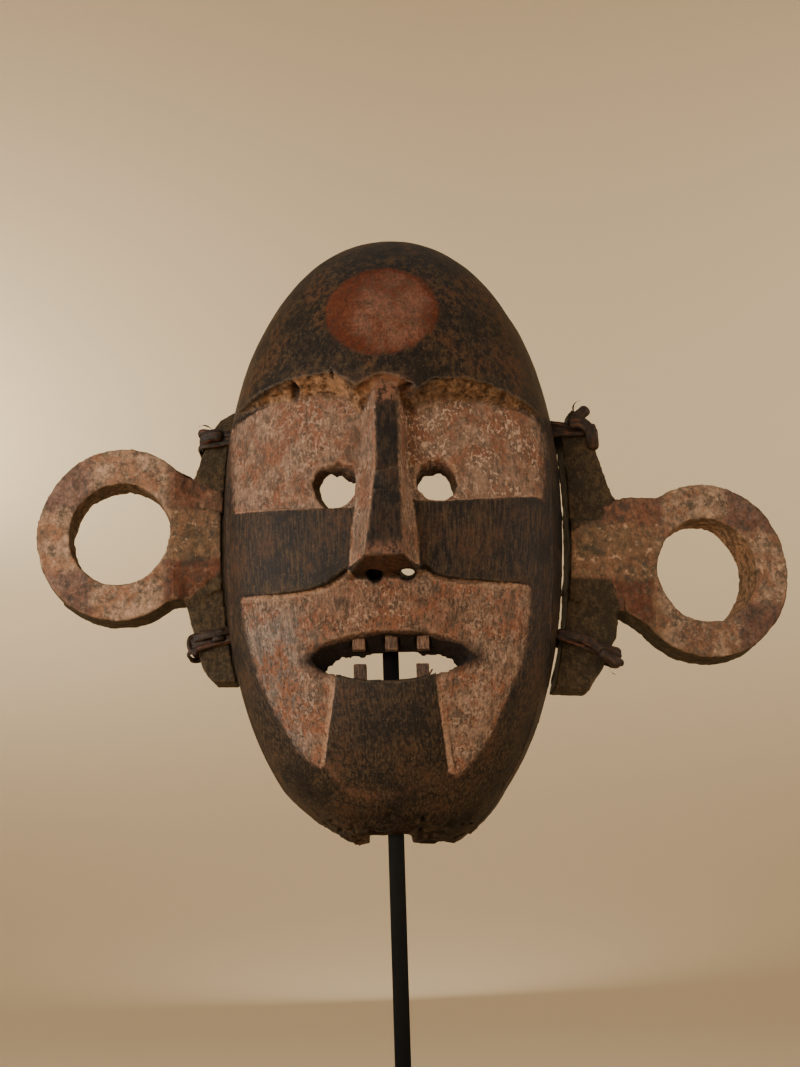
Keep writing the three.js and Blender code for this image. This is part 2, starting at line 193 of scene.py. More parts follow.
WARM, PALE, DAYLIGHT, SKY = (1, 0.96, 0.89), (1, 0.98, 0.94), (0.95, 0.98, 1), (1, 0.97, 0.91)
SKY_STRENGTH = 0.46
lamps = [  # name, place, size, power, colour and, if not the mask, what it points at
    softbox("key", (-1.0, -1.45, 0.62), 0.8, 17, WARM),
    softbox("fill", (1.3, -1.2, 0.75), 0.8, 5, WARM),
    softbox("low", (-0.3, -1.4, 0.22), 0.4, 2.5, WARM),
    softbox("left rim", (-1.6, -0.2, 0.5), 0.5, 10, DAYLIGHT),
    softbox("right rim", (1.5, 0, 0.5), 0.5, 4, PALE),
    softbox("paper left", (-0.9, 2.5, 1.05), 0.5, 2.9, PALE, (-0.95, 3.3, 1.05)),
    softbox("paper low left", (-0.7, 2.2, 1.3), 1, 6.9, PALE, (-0.8, 3.2, 0.8)),
    softbox("paper right", (0.8, 2.2, 1.4), 1.2, 4.8, PALE, (0.8, 3.2, 0.8)),
    softbox("floor", (0, 1.3, 0.35), 0.6, 0.72, PALE, (-0.1, 2.4, 0.2)),
]
world = bpy.data.worlds.new("sky")
bpy.context.scene.world = world
world.use_nodes = True
sky = world.node_tree.nodes["Background"].inputs
sky["Color"].default_value = (*SKY, 1)
sky["Strength"].default_value = SKY_STRENGTH
print(len(lamps), "lamps")

# %% [markdown]
# Hand carving is never quite even. Its unevenness is made here from two kinds of number
# fields. A ripple drifts smoothly between random values on a lattice, and gives swelling
# and rough breaks. Cuts divide space into cells with a random tilt each, and give the
# small flats that a knife or an adze leaves. Both are the same on every run.

# %% Ripples and cuts
CORNERS = [np.array((i, j, k)) for i in (0, 1) for j in (0, 1) for k in (0, 1)]
AROUND = [np.array((i, j, k)) for i in (-1, 0, 1) for j in (-1, 0, 1) for k in (-1, 0, 1)]


def chance(cells, seed):
    """A fixed random number from 0 to 1 for every whole-number cell."""
    x, y, z = cells.astype(np.int64).T
    mixed = (x * 73856093) ^ (y * 19349663) ^ (z * 83492791) ^ (seed * 50331653)
    mixed = (mixed & 0x7FFFFFFF) * 1274126177
    mixed = ((mixed >> 15) ^ mixed) & 0x7FFFFFFF
    mixed = (mixed * 668265263) >> 12
    return (mixed & 0xFFFFF) / 0xFFFFF


def ripple(points, size, seed):
    """Smooth noise from -1 to 1 with features of about size."""
    spread = points / size
    cell = np.floor(spread)
    part = spread - cell
    ease = part * part * (3 - 2 * part)
    total = 0
    for corner in CORNERS:
        weight = np.prod(np.where(corner, ease, 1 - ease), axis=1)
        total = total + weight * chance(cell + corner, seed)
    return total * 2 - 1


def rough(points, size, seed, octaves=3):
    """Several ripples on each other, each half as large and half as deep."""
    return sum(ripple(points, size / 2 ** n, seed + n) / 2 ** n for n in range(octaves))


def cuts(points, size, seed):
    """Little tilted flats of about size: from -1 to 1, and 0 at the middle of a flat."""
    spread = points / size
    cell = np.floor(spread)
    nearest = np.full(len(points), 9.0)
    height = np.zeros(len(points))
    for offset in AROUND:
        there = cell + offset
        middle = there + np.stack([chance(there, seed + n) for n in range(3)], axis=1)
        away = spread - middle
        distance = (away ** 2).sum(axis=1)
        tilt = np.stack([chance(there, seed + 3 + n) for n in range(3)], axis=1) * 2 - 1
        closer = distance < nearest
        nearest = np.where(closer, distance, nearest)
        height = np.where(closer, (away * tilt).sum(axis=1), height)
    return height


sample = np.random.default_rng(4).uniform(-80, 80, (2000, 3))
print("ripple spans", np.round(ripple(sample, 20, 1).min(), 2), "to",
      np.round(ripple(sample, 20, 1).max(), 2))

# %% [markdown]
# The plain solids have large flat faces. A remesh turns each one into small even faces
# without changing its form, and a light smoothing rounds its edges as handling does. The
# plain solid itself stays untouched: the fine piece is a new object that stands for it.
# The hollow of the mask is seen less, so its faces are merged into larger ones again.

# %% Fine copies
def add_piece(name, mesh, slot, *nodes):
    piece = linked(name, mesh)
    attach(piece, "root")
    if nodes:
        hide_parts(*nodes)
    return piece


def applied(piece):
    """Turns the modifiers of a piece into its mesh."""
    seen = piece.evaluated_get(bpy.context.evaluated_depsgraph_get())
    mesh = bpy.data.meshes.new_from_object(seen)
    piece.modifiers.clear()
    piece.data = mesh
    mesh.name = piece.name
    mesh.materials.clear()
    mesh.shade_smooth()


def fine_copy(name, slot, node, face, soften):
    """A piece with a plain node's form in even faces of a size in millimetres."""
    piece = add_piece(name, frame["nodes"][node].data.copy(), slot, node)
    remesh = piece.modifiers.new("even faces", "REMESH")
    remesh.mode = "VOXEL"
    remesh.voxel_size = face * MM
    smooth = piece.modifiers.new("worn edges", "SMOOTH")
    smooth.factor = 0.5
    smooth.iterations = soften
    applied(piece)
    return piece


def thinned(piece, chosen, share):
    """Merges small faces at the chosen corners and leaves all others as they are."""
    group = piece.vertex_groups.new(name="thinned")
    group.add(np.nonzero(chosen)[0].tolist(), 1, "REPLACE")
    fewer = piece.modifiers.new("fewer faces", "DECIMATE")
    fewer.ratio = share
    fewer.vertex_group = group.name
    applied(piece)
    piece.vertex_groups.clear()


def rows_of(items, field):
    """A vector of every corner of a mesh, as rows of three numbers."""
    flat = np.empty(len(items) * 3)
    items.foreach_get(field, flat)
    return flat.reshape(-1, 3)


def corners_of(mesh):
    return rows_of(mesh.vertices, "co")


def normals_of(mesh):
    return rows_of(mesh.vertex_normals, "vector")


def move_corners(mesh, points):
    mesh.vertices.foreach_set("co", points.ravel())
    mesh.update()


def push(mesh, amount):
    """Moves every corner outwards by an amount in millimetres."""
    move_corners(mesh, corners_of(mesh) + normals_of(mesh) * (amount * MM)[:, None])


def keep(mesh, **fields):
    """Stores named numbers, or vectors, at each corner for the finish to read."""
    for name, values in fields.items():
        kind, part = ("FLOAT", "value") if values.ndim == 1 else ("FLOAT_VECTOR", "vector")
        stored = mesh.attributes.new(name, kind, "POINT")
        stored.data.foreach_set(part, values.astype(np.float32).ravel())


def sharpness(mesh, rounds):
    """How far each corner stands out of the smoothed surface, in millimetres."""
    points = corners_of(mesh)
    ends = np.empty(len(mesh.edges) * 2, dtype=np.int32)
    mesh.edges.foreach_get("vertices", ends)
    one, other = ends.reshape(-1, 2).T
    count = np.bincount(one, minlength=len(points)) + np.bincount(other, minlength=len(points))
    smooth = points
    for _ in range(rounds):
        total = np.stack([np.bincount(one, smooth[other, axis], len(points))
                          + np.bincount(other, smooth[one, axis], len(points))
                          for axis in range(3)], axis=1)
        smooth = total / count[:, None]
    return ((points - smooth) * normals_of(mesh)).sum(axis=1) / MM


MASK_FACE, HOLLOW_SHARE = 1.2, 0.64
mask = fine_copy("carved_mask", "mask_wood", "mask", MASK_FACE, 2)
backwards = turned_to_mask(normals_of(mask.data))[:, 1] < -0.05
thinned(mask, backwards, HOLLOW_SHARE)
mask.data.calc_loop_triangles()
print("mask in", len(mask.data.loop_triangles), "triangles")

# %% [markdown]
# The plain mask follows a formula at every height: a rounded width, and a rounded depth
# for the forehead, for the face and for the flatter painted fields. Its faces are flat
# between the points of that formula, so the fine copy is first drawn onto the true
# curves. Only corners that already lie close to a curve move.

# %% True curves of the mask
HALF_WIDTH, TOP, BOTTOM, WIDEST = 87.5, 173, -149, 22
FOREHEAD_DEPTH, FOREHEAD_START, FACE_DEPTH, FIELD_RECESS = 90, 40, 74, 3.7


def swell(t, power):
    return (1 - np.minimum(1, np.abs(t)) ** power) ** (1 / power)


def along_face(z, upper_power, lower_power):
    upper = swell((z - WIDEST) / (TOP - WIDEST), upper_power)
    lower = swell((z - WIDEST) / (WIDEST - BOTTOM), lower_power)
    return np.where(z > WIDEST, upper, lower)


def half_width(z):
    return HALF_WIDTH * along_face(z, 2.1, 2.25)


def forehead_depth(z):
    return FOREHEAD_DEPTH * swell(np.maximum(0, z - FOREHEAD_START) / (TOP - FOREHEAD_START), 2.2)


def face_depth(z):
    return FACE_DEPTH * along_face(z, 2.6, 2.15)


def field_width(z):
    below_cheek = np.maximum(0, -25 - z) / 83
    return half_width(z) + 2.3 - 0.022 * z + 8 * below_cheek ** 3


def field_depth(z):
    return np.maximum(0, face_depth(z) - FIELD_RECESS)


def chin_drift(z):
    return 0.185 * np.maximum(0, -118 - z)


def drawn_onto(places, width, depth, across_power, forward_power, reach):
    """Places (x, forward, z) moved onto a rounded curve if they lie within reach of it."""
    x, forward, z = places.T
    middle = chin_drift(z)
    wide, deep = np.maximum(width(z), 1), np.maximum(depth(z), 1)
    size = np.abs((x - middle) / wide) ** across_power + np.abs(forward / deep) ** forward_power
    grow = np.maximum(size, 1e-6) ** (-2 / (across_power + forward_power))
    shift = (grow - 1) * np.hypot(x - middle, forward)
    near = (np.abs(shift) < reach) & (forward > 1)
    grow = np.where(near, grow, 1)
    return np.stack([middle + (x - middle) * grow, forward * grow, z], axis=1), near


DRAWN_WITHIN = 0.7
TRUE_CURVES = [(half_width, forehead_depth, 2.1, 2.1), (half_width, face_depth, 2, 2.55),
               (field_width, field_depth, 2, 2.55)]
places = on_mask(corners_of(mask.data))
taken = np.zeros(len(places), dtype=bool)
for width, depth, across_power, forward_power in TRUE_CURVES:
    drawn, near = drawn_onto(places, width, depth, across_power, forward_power, DRAWN_WITHIN)
    use = near & ~taken
    places[use] = drawn[use]
    taken |= near
move_corners(mask.data, in_room(places))
print("drawn onto the true curves:", int(taken.sum()), "of", len(taken), "corners")

# %% [markdown]
# The painter's borders are lines on the face, given as a few points (x, z) and smoothed.
# What the carving and the paint need is each corner's distance to such a line, positive
# inside. A distance can be read softly, raggedly or as a thin line along the border, so
# one number serves the colour, the wear and the relief.

# %% Borders and distances
def smooth_line(points, steps=5):
    """A curve through points, as many short straight pieces."""
    points = np.array(points, dtype=float)
    padded = np.vstack([2 * points[0] - points[1], points, 2 * points[-1] - points[-2]])
    curve = []
    for a, b, c, d in zip(padded, padded[1:], padded[2:], padded[3:]):
        for t in np.linspace(0, 1, steps, endpoint=False):
            curve.append(0.5 * (2 * b + (c - a) * t + (2 * a - 5 * b + 4 * c - d) * t * t
                                + (3 * b - a - 3 * c + d) * t ** 3))
    return [*curve, points[-1]]


def distance_to(line, x, z):
    """Distance from every (x, z) to an open line."""
    line = np.array(line)
    best = np.full(len(x), 1e9)
    for (ax, az), (bx, bz) in zip(line, line[1:]):
        dx, dz = bx - ax, bz - az
        t = np.clip(((x - ax) * dx + (z - az) * dz) / (dx * dx + dz * dz + 1e-9), 0, 1)
        best = np.minimum(best, np.hypot(x - ax - t * dx, z - az - t * dz))
    return best


def depth_inside(border, x, z):
    """Distance to a closed border, positive inside and negative outside."""
    border = np.array([*border, border[0]])
    inside = np.zeros(len(x), dtype=bool)
    for (ax, az), (bx, bz) in zip(border, border[1:]):
        if az == bz:
            continue
        crosses = ((az > z) != (bz > z)) & (x < (bx - ax) * (z - az) / (bz - az) + ax)
        inside ^= crosses
    return np.where(inside, 1, -1) * distance_to(border, x, z)


BROW_FRONT = [(-80, 71), (-74.9, 72), (-62, 72.9), (-48, 75.5), (-31.7, 75.8), (-21.5, 74.1),
              (-11.9, 66), (0, 71.8), (10.7, 70.2), (18.2, 63.7), (24.7, 68.8), (35, 71),
              (44, 71.9), (54, 71.6), (62, 69.7), (69, 67.9), (80, 64)]
BROW_BACK = [(-80, 62), (-62, 67.3), (-50, 68.7), (-37, 69.7), (-23, 67.9), (-16, 64.1),
             (-10.6, 58.4), (0, 64), (15.3, 58.8), (22, 61.9), (29.6, 63.8), (38.4, 65.2),
             (47.7, 65.9), (56, 64.9), (63, 63.3), (80, 60)]
EYE_BOTTOM_LEFT = [(-77, 17.1), (-62, 13.5), (-46, 11.3), (-30.5, 10.2), (-13.5, 9.3)]
EYE_BOTTOM_RIGHT = [(14.9, 12.4), (28, 11.7), (42.5, 13.6), (57, 15.8), (78, 21)]
BAND_BOTTOM_LEFT = [(-74.7, -26.3), (-57, -29.5), (-40.5, -30.1), (-28.3, -27.8), (-17.3, -21.4)]
BAND_BOTTOM_RIGHT = [(19.5, -21), (28.3, -25.7), (44.5, -26.7), (56, -26.5), (70.5, -25.3)]
JAW_LEFT = [(-73.5, -27.7), (-69.6, -49.2), (-62.2, -71.4), (-51.3, -93.7), (-42.1, -108),
            (-33.6, -113.3)]
JAW_RIGHT = [(70.4, -26.8), (68.3, -50.8), (61.9, -70.3), (52.1, -93.6), (42, -108.9),
             (34.9, -116.9), (30.1, -118)]
PANEL_LEFT = [(-24.8, -72), (-25, -78), (-31.5, -112.5)]
PANEL_RIGHT = [(24.2, -72), (24.4, -78), (28.5, -117)]
NOSE_LEFT = [(-3, 67), (-1.9, 28.5), (-5.8, -9), (-8.2, -22)]
NOSE_RIGHT = [(9, 67), (9.4, 28.5), (11.2, -9), (12.2, -22)]
MOUTH = [(-40.5, -63.5), (-32.3, -57.3), (-17.2, -53.6), (0, -51.9), (17.4, -52.4),
         (37, -56.8), (45.5, -63.5), (33, -69.4), (16.9, -74), (0, -75), (-17.5, -73.6),
         (-33.3, -69)]

LIFT = 2.2
UNDER_BROW = [(px, pz + LIFT) for px, pz in smooth_line(BROW_BACK)]
UNDER_LEFT = [point for point in UNDER_BROW if -79 < point[0] < -10.6]
UNDER_RIGHT = [point for point in UNDER_BROW if 15.3 < point[0] < 69]
EYE_FIELD_LEFT = [(-80.5, 64), (-78.5, 40), (-77.5, 24.4), *smooth_line(EYE_BOTTOM_LEFT),
                  (-15.5, -3), (-17.3, -21), *NOSE_LEFT[::-1], *UNDER_LEFT[::-1]]
EYE_FIELD_RIGHT = [*NOSE_RIGHT, (18, -21), (17.4, -9), *smooth_line(EYE_BOTTOM_RIGHT),
                   (78.9, 40), (78.5, 54), (74.5, 63), *UNDER_RIGHT[::-1]]
LOWER_FIELD = [*smooth_line(BAND_BOTTOM_LEFT), (-13, -26), (14, -26),
               *smooth_line(BAND_BOTTOM_RIGHT), *smooth_line(JAW_RIGHT), *PANEL_RIGHT[::-1],
               *PANEL_LEFT, *smooth_line(JAW_LEFT)[::-1]]

DISC_MIDDLE, DISC_REACH = (0.6, 110.6), (28.4, 27)
PALE_MIDDLE, PALE_REACH = (5, 109.3), (19.6, 23.2)


def in_round(middle, reach, x, z):
    """From 1 at the middle of an ellipse to 0 on its border, and below 0 outside."""
    return 1 - np.hypot((x - middle[0]) / reach[0], (z - middle[1]) / reach[1])


def depth_in_round(middle, reach, x, z):
    """Rough distance into an ellipse, positive inside."""
    return in_round(middle, reach, x, z) * min(reach)


x, forward, z = places.T
on_face = np.abs(x / np.maximum(field_width(z), 1)) ** 2
face_shift = forward - field_depth(z) * np.maximum(0, 1 - on_face) ** (1 / 2.55)
facing = turned_to_mask(normals_of(mask.data))
cavity = ((facing[:, 0] * x + facing[:, 1] * forward < 0) | (forward < 0.8)).astype(float)
outside = 1 - cavity
eye_field = np.maximum(depth_inside(EYE_FIELD_LEFT, x, z), depth_inside(EYE_FIELD_RIGHT, x, z))
lower_field = depth_inside(LOWER_FIELD, x, z)
ledge = depth_inside([*smooth_line(BROW_FRONT), *smooth_line(BROW_BACK)[::-1]], x, z)
mouth_wall = depth_inside(MOUTH, x, z)
print("corners in the painted fields:", int(((eye_field > 0) | (lower_field > 0)).sum()))

# %% [markdown]
# Now the fine copy is carved. Broad swellings and knife flats go over the whole outside,
# and deeper gouge marks over the hollow. The underside of the brow was left rough and has
# crumbled, the chin is worm-eaten and worn, and a groove and a raised lip run under the
# cheek band where the knife turned.

# %% Carving the mask
def band(distance, middle, half):
    """A soft bump: 1 where the distance is middle, 0 half a width away."""
    t = np.clip(1 - np.abs(distance - middle) / half, 0, 1)
    return t * t * (3 - 2 * t)


def step(value, low, high):
    t = np.clip((value - low) / (high - low), 0, 1)
    return t * t * (3 - 2 * t)


field = np.maximum(eye_field, lower_field)
ledge_rough = outside * step(ledge, -1.2, 1) * step(-facing[:, 2], 0.1, 0.5)
chin_wear = outside * step(-z + 3 * ripple(places, 9, 60), 128, 142)


def to_lines(*lines):
    """Distance to the nearest of several border lines."""
    return np.min([distance_to(smooth_line(line), x, z) for line in lines], axis=0)


below_band = np.where(lower_field > 0, to_lines(BAND_BOTTOM_LEFT, BAND_BOTTOM_RIGHT), -9)
beside_panel = np.where((lower_field > 0) & (z < -70), to_lines(PANEL_LEFT, PANEL_RIGHT), -9)

amount = outside * (0.3 * rough(places, 34, 10) + 0.12 * cuts(places * (1, 1, 0.6), 9, 20))
amount += cavity * (0.8 * cuts(places * (1, 1, 0.55), 13, 30) + 0.25 * rough(places, 8, 31))
amount += outside * step(field, 0, 2) * 0.2 * rough(places, 4, 40, 4)
amount += ledge_rough * (0.9 * rough(places * (1.1, 0.5, 0.7), 5, 50, 4) - 0.5)
amount -= ledge_rough * 1.5 * step(ripple(places * (1, 0.6, 1), 4, 55), 0.35, 0.75)
amount += chin_wear * (0.95 * rough(places, 8, 61, 4) - 0.5)
amount -= chin_wear * 2 * step(ripple(places, 3.4, 65), 0.35, 0.75)
amount += outside * (0.7 * band(below_band, 2.4, 1.6) - 0.8 * band(below_band, 0.4, 1.1))
amount += outside * (0.5 * band(beside_panel, 2.2, 1.5) - 0.6 * band(beside_panel, 0.3, 1))
push(mask.data, amount)
print("carved by", np.round(amount.min(), 2), "to", np.round(amount.max(), 2), "mm")

# %% [markdown]
# A few marks are this mask's own: cracks under the brow, a split at the chin, a nick in
# the rim. Each is a dent with a place, a size and a depth, and all but the nick get
# painted shade inside.

# %% Its own dents and cracks
DENTS = {
    "crack_brow_left": ((-44.2, 71.8), (2.4, 3.2), 3.6),
    "crack_brow_middle": ((-23.9, 75.3), (0.9, 3.2), 2.8),
    "hole_brow_nose": ((13.5, 66.6), (3.6, 1.6), 2.2),
    "crumb_brow_right": ((27.5, 69.8), (3.2, 0.9), 1.8),
    "nick_rim": ((-24.6, 167.4), (2.4, 2.8), 2.2),
    "pit_chin_left": ((12.9, -142.1), (2.2, 1.6), 2.4),
    "pit_chin_right": ((15.2, -138.4), (1.8, 2.6), 2.2),
    "pit_chin_low": ((7, -144.5), (3, 1.2), 2.0),
    "hole_forehead": ((50.9, 99.8), (0.8, 0.8), 1.2),
}
RIM_STARTS = 150
dent = np.zeros(len(places))
for middle, reach, deep in DENTS.values():
    ragged = in_round(middle, reach, x, z) + 0.25 * ripple(places, 2.5, 70)
    hollow = outside * step(ragged, 0, 0.7)
    push(mask.data, -deep * hollow)
    # Painted shade inside every dent below the rim.
    dent = np.maximum(dent, hollow * (z < RIM_STARTS))
print(len(DENTS), "dents")

# %% [markdown]
# The finish reads what the carving knew. Each corner keeps its place on the mask, its
# distance into every painted part, how rough and how sharp it is, and whether it lies in
# the hollow. Along each kind of seam a pale line of its own strength and width is painted,
# partly paint rubbed off and partly painted highlight where light catches the edge, with
# or without painted shadow in a groove beside it, and the paint fades over its own softness.
# The nose was rubbed at its tip and root, and the chin panel along its lower end. Painted
# shade goes into the dents, round and into the mouth, into the nostrils and the eye holes,
# under the nose and onto the strip down it.

# %% What the finish reads
SIDE_LEFT, SIDE_RIGHT = EYE_FIELD_LEFT[:3], [(78, 21), (78.9, 40), (78.5, 54), (74.5, 62.5)]
NOSTRIL_FORWARD, NOSTRIL_Z = 68, -23.2
NOSTRILS = [(-4.5, 35), (11.3, 27)]  # x of the middle, slant in degrees
PANEL_END = [(-31, -112), (-19, -124), (3, -127), (29, -117)]
# The strength makes a pale line that is partly worn paint and partly painted highlight where light
# catches the edge; the groove is painted shadow beside it.
SEAMS = [  # lines, strength, width in mm, groove, softness of the border in mm
    ((EYE_BOTTOM_LEFT,), 0.45, 0.9, 0, 0.4),
    ((EYE_BOTTOM_RIGHT,), 0.55, 1.6, 0, 0.4),
    ((BAND_BOTTOM_LEFT, BAND_BOTTOM_RIGHT), 0.8, 1.9, 0.8, 0.4),
    ((NOSE_LEFT, NOSE_RIGHT), 0.3, 1.1, 0, 0.8),
    ((PANEL_LEFT,), 0.72, 2.6, 0.6, 0.4),
    ((PANEL_RIGHT,), 0.6, 2.6, 0.6, 0.4),
    ((UNDER_BROW[2:-2],), 0, 1, 0, 1),
    ((JAW_LEFT, JAW_RIGHT), 0, 1, 0, 1.5),
    ((SIDE_LEFT, SIDE_RIGHT), 0, 1, 0, 3),
]
near_seam = np.stack([to_lines(*lines) for lines, *_ in SEAMS])
share = np.exp((near_seam.min(axis=0) - near_seam) / 1.5)
share /= share.sum(axis=0)
strength, width, groove, soft = (share.T @ np.array([seam[n] for seam in SEAMS])
                                 for n in (1, 2, 3, 4))
# Painted shade under the nose and inside its nostrils.
under = (facing[:, 2] < -0.2) & (z < -19) & (z > -29) & (forward > 60)
nostril = np.zeros(len(places))
for middle, rise in NOSTRILS:
    rise = math.radians(rise)
    off_axis = (forward - NOSTRIL_FORWARD) * math.sin(rise) + (z - NOSTRIL_Z) * math.cos(rise)
    bore = step(-np.hypot(x - middle, off_axis), -5, -3.9) * (z > -34) * (z < -14)
    nostril = np.maximum(nostril, bore * (forward < 78))
# Painted shade down the eye holes.
bored = step(-face_shift, -1, 8) * outside * (z > 0) * (z < 45)

panel_end = to_lines(PANEL_END)
rubbed = np.maximum.reduce([0.7 * step(depth_in_round((2, -21), (12, 6), x, z), -3, 3),
                            0.8 * step(depth_in_round((2.5, 66), (13, 7), x, z), -2, 3),
                            (0.12 + 0.2 * step(-x, -8, 12)) * band(panel_end, 0, 3.2)])
# Painted shade round the mouth opening, wider towards its corners.
corner = step(np.abs(x - 2), 26, 42)
lip = (0.45 + 0.3 * corner) * outside * step(mouth_wall, -2.2 - 3 * corner, -0.4)
# Painted shade: the dark wood of the strip down the nose is darkened further where it faces the
# lamps.
ridge = outside * step(depth_inside([*NOSE_LEFT, *NOSE_RIGHT[::-1]], x, z), -1, 1)
crust = np.where(z > 0, np.where(x > 0, 1, 0.62), 0.5) + 0.35 * band(np.hypot(x / 2, z + 42), 0, 20)
ruddy = step(-np.hypot((x - 4) / 44, (z + 43) / 17), -1.25, -0.7)
greyish = step(-x, 30, 52) * step(-z, 30, 48)

# dark gathers the painted shade: in the dents, round and inside the mouth, in the nostrils, down the
# eye holes and under the nose.
dark = np.maximum.reduce([dent, lip, step(mouth_wall, -0.9, 0.6), nostril, 0.9 * bored,
                          0.55 * under])
sharp = sharpness(mask.data, 3)
keep(mask.data, place=places, field=field, seam=strength * outside, seam_width=width,
     groove=groove * outside, soft=soft, rubbed=outside * rubbed,
     disc=depth_in_round(DISC_MIDDLE, DISC_REACH, x, z),
     disc_pale=depth_in_round(PALE_MIDDLE, PALE_REACH, x, z),
     ledge=ledge_rough, chin=chin_wear, streaky=step(-z, -80, -55), dark=dark, ridge=ridge,
     dusted=np.where(x > 4, 0.3, 1), crust=crust, ruddy=ruddy, greyish=greyish,
     strokes=np.where(z > 0, np.where(x > 0, 0.4, 0.6), 1), hollow=cavity, sharp=sharp)
print("sharpness from", np.round(sharp.min(), 2), "to", np.round(sharp.max(), 2), "mm")

# %% [markdown]
# Each ear is carved from one board: a ring, a neck and the bar that lies along the rim.
# The carver cut the ring's outline in short straight strokes, so the knife flats are
# larger here. Places are read in the ear's own frame: outwards, forward and up, with the
# right ear turned back to where it would lie flat against the mask.

# %% The ears
EAR_FACE = 0.95
RIGHT_SWEEP, SWEEP_PIVOT = math.radians(13.3), (93.9, 8)
EARS = {
    "left": {
        "side": -1, "ring": (142, 18.7), "narrows": 0,
        "facets": [(31.4, 43, 0.72), (3.4, -8, -0.79)],
        "corners": [(117, 31.5), (157, 32), (155.4, -0.4), (118.5, 3.8)],
        "painted": [(70, 25), (85, 35.8), (112, 55.2), (112, 90), (220, 90), (220, -80),
                    (112, -80), (112, -21.4), (85, -0.1), (70, 11.7)]},
    "right": {
        "side": 1, "ring": (163.2, -5.3), "narrows": 4.2,
        "facets": [],
        "corners": [(140, 17.8), (174, 16.5), (179, -22.5), (134, -12)],
        "painted": [(70, 6), (91, 12), (100, 17), (109, 21), (110.5, 27), (117, 31), (117, 90),
                    (230, 90), (230, -90), (118, -90), (117, -26), (112, -12), (91, -12),
                    (70, -12)]},
}
HOLE = (26.4, 27.4)
BOARD_FRONT, BOARD_BACK, BAR_SET_BACK, RING_STARTS = 8, -10.5, 4, 114


def ear_turned(places, side, sweep):
    """Places on the mask turned to an ear's own frame, or with minus the sweep turned back."""
    outwards, forward, z = places.T
    if side > 0:
        c, s = math.cos(sweep), math.sin(sweep)
        away, ahead = outwards - SWEEP_PIVOT[0], forward - SWEEP_PIVOT[1]
        outwards = SWEEP_PIVOT[0] + away * c - ahead * s
        forward = SWEEP_PIVOT[1] + ahead * c + away * s
    return np.stack([outwards * side, forward, z], axis=1)


def eased_into_ring(flat, facts):
    """The neck's slanted corners rise to meet the ring, and the hole narrows backwards."""
    u, forward, z = flat.T.copy()
    for edge, end, skew in facts["facets"]:
        lowered = np.clip((z - edge) / (end + skew * (u - 95) - edge), 0, 1) * BAR_SET_BACK
        rise = step(u, RING_STARTS - 9, RING_STARTS)
        on_corner = (lowered > 0) & (u < RING_STARTS + 0.6)
        tall = BOARD_FRONT - lowered - BOARD_BACK
        wall = on_corner & (u > RING_STARTS - 0.6) & (forward > BOARD_FRONT - lowered)
        grown = BOARD_BACK + (forward - BOARD_BACK) * (1 + rise * lowered / tall)
        forward = np.where(wall, BOARD_FRONT, np.where(on_corner, grown, forward))
    across, up = (u - facts["ring"][0]) / HOLE[0], (z - facts["ring"][1]) / HOLE[1]
    at_wall = step(-np.hypot(across, up), -1.4, -1.02) * step(across, 0, 0.9)
    deep = (BOARD_FRONT - forward) / (BOARD_FRONT - BOARD_BACK)
    u = u - facts["narrows"] * at_wall * np.clip(deep, 0, 1)
    return np.stack([u, np.minimum(forward, BOARD_FRONT + 0.5), z], axis=1)


def ear_piece(name, facts, seed):
    piece = fine_copy(f"carved_ear_{name}", "ear_wood", f"ear_{name}", EAR_FACE, 1)
    flat = ear_turned(on_mask(corners_of(piece.data)), facts["side"], RIGHT_SWEEP)
    flat = eased_into_ring(flat, facts)
    places = ear_turned(flat, facts["side"], -RIGHT_SWEEP)
    move_corners(piece.data, in_room(places))
    u, forward, z = flat.T
    facing = turned_to_mask(normals_of(piece.data))
    front = step(facing[:, 1], 0.4, 0.92)
    edge = 1 - step(np.abs(facing[:, 1]), 0.3, 0.8)
    from_ring = np.hypot((u - facts["ring"][0]) / HOLE[0], (z - facts["ring"][1]) / HOLE[1])
    amount = 0.35 * rough(flat, 15, seed) + 0.35 * cuts(flat, 12, seed + 10)
    amount += edge * (0.5 * cuts(flat * (1, 0.3, 1), 15, seed + 20) + 0.2 * rough(flat, 4, seed + 22))
    amount += front * 0.14 * rough(flat, 3.5, seed + 30)
    chips = step(ripple(flat, 5, seed + 40), 0.3, 0.7) * band(from_ring, 1, 0.12)
    amount -= 0.8 * chips
    push(piece.data, amount)

    in_corners = [np.minimum(a * (u - cu), b * (z - cz)) for (cu, cz), (a, b)
                  in zip(facts["corners"], ((-1, 1), (1, 1), (1, -1), (-1, -1)))]
    neck = step(facts["ring"][0] - 25 - u, -4, 4)
    lower_ring = step(facts["ring"][1] - z, 8, 40)
    right = float(facts["side"] > 0)
    inner_wall = edge * step(-from_ring, -1.12, -1.02)
    # Painted shade on the faces of the bar that turn towards the mask.
    towards_mask = step(-facing[:, 0] * facts["side"], 0.3, 0.7) * step(112 - u, 0, 4)
    # Painted light and shade: the right ear's ring is darkened, more so low down, and the bare wood
    # is lightened on the left ear and in the right ring's hole.
    keep(piece.data, place=places, board=flat, front=front, neck=neck, sooty=towards_mask,
         light=1 - right * (1 - neck) * (0.22 + 0.12 * lower_ring),
         upper=step(z - facts["ring"][1], -6, 6), inner_wall=inner_wall,
         bar_light=(1.14 - 0.16 * right) * (1 + right * inner_wall),
         painted=depth_inside(facts["painted"], u, z), red=np.max(in_corners, axis=0),
         sharp=sharpness(piece.data, 3))
    return piece


ears = [ear_piece(name, facts, seed) for (name, facts), seed in zip(EARS.items(), (100, 200))]
print("ears in", [len(ear.data.polygons) for ear in ears], "small faces")

# %% [markdown]
# The five teeth are split pegs with rubbed edges. A small face size keeps their square
# section, and a little smoothing takes the newness off.

# %% The pegs
PEG_FACE = 0.4


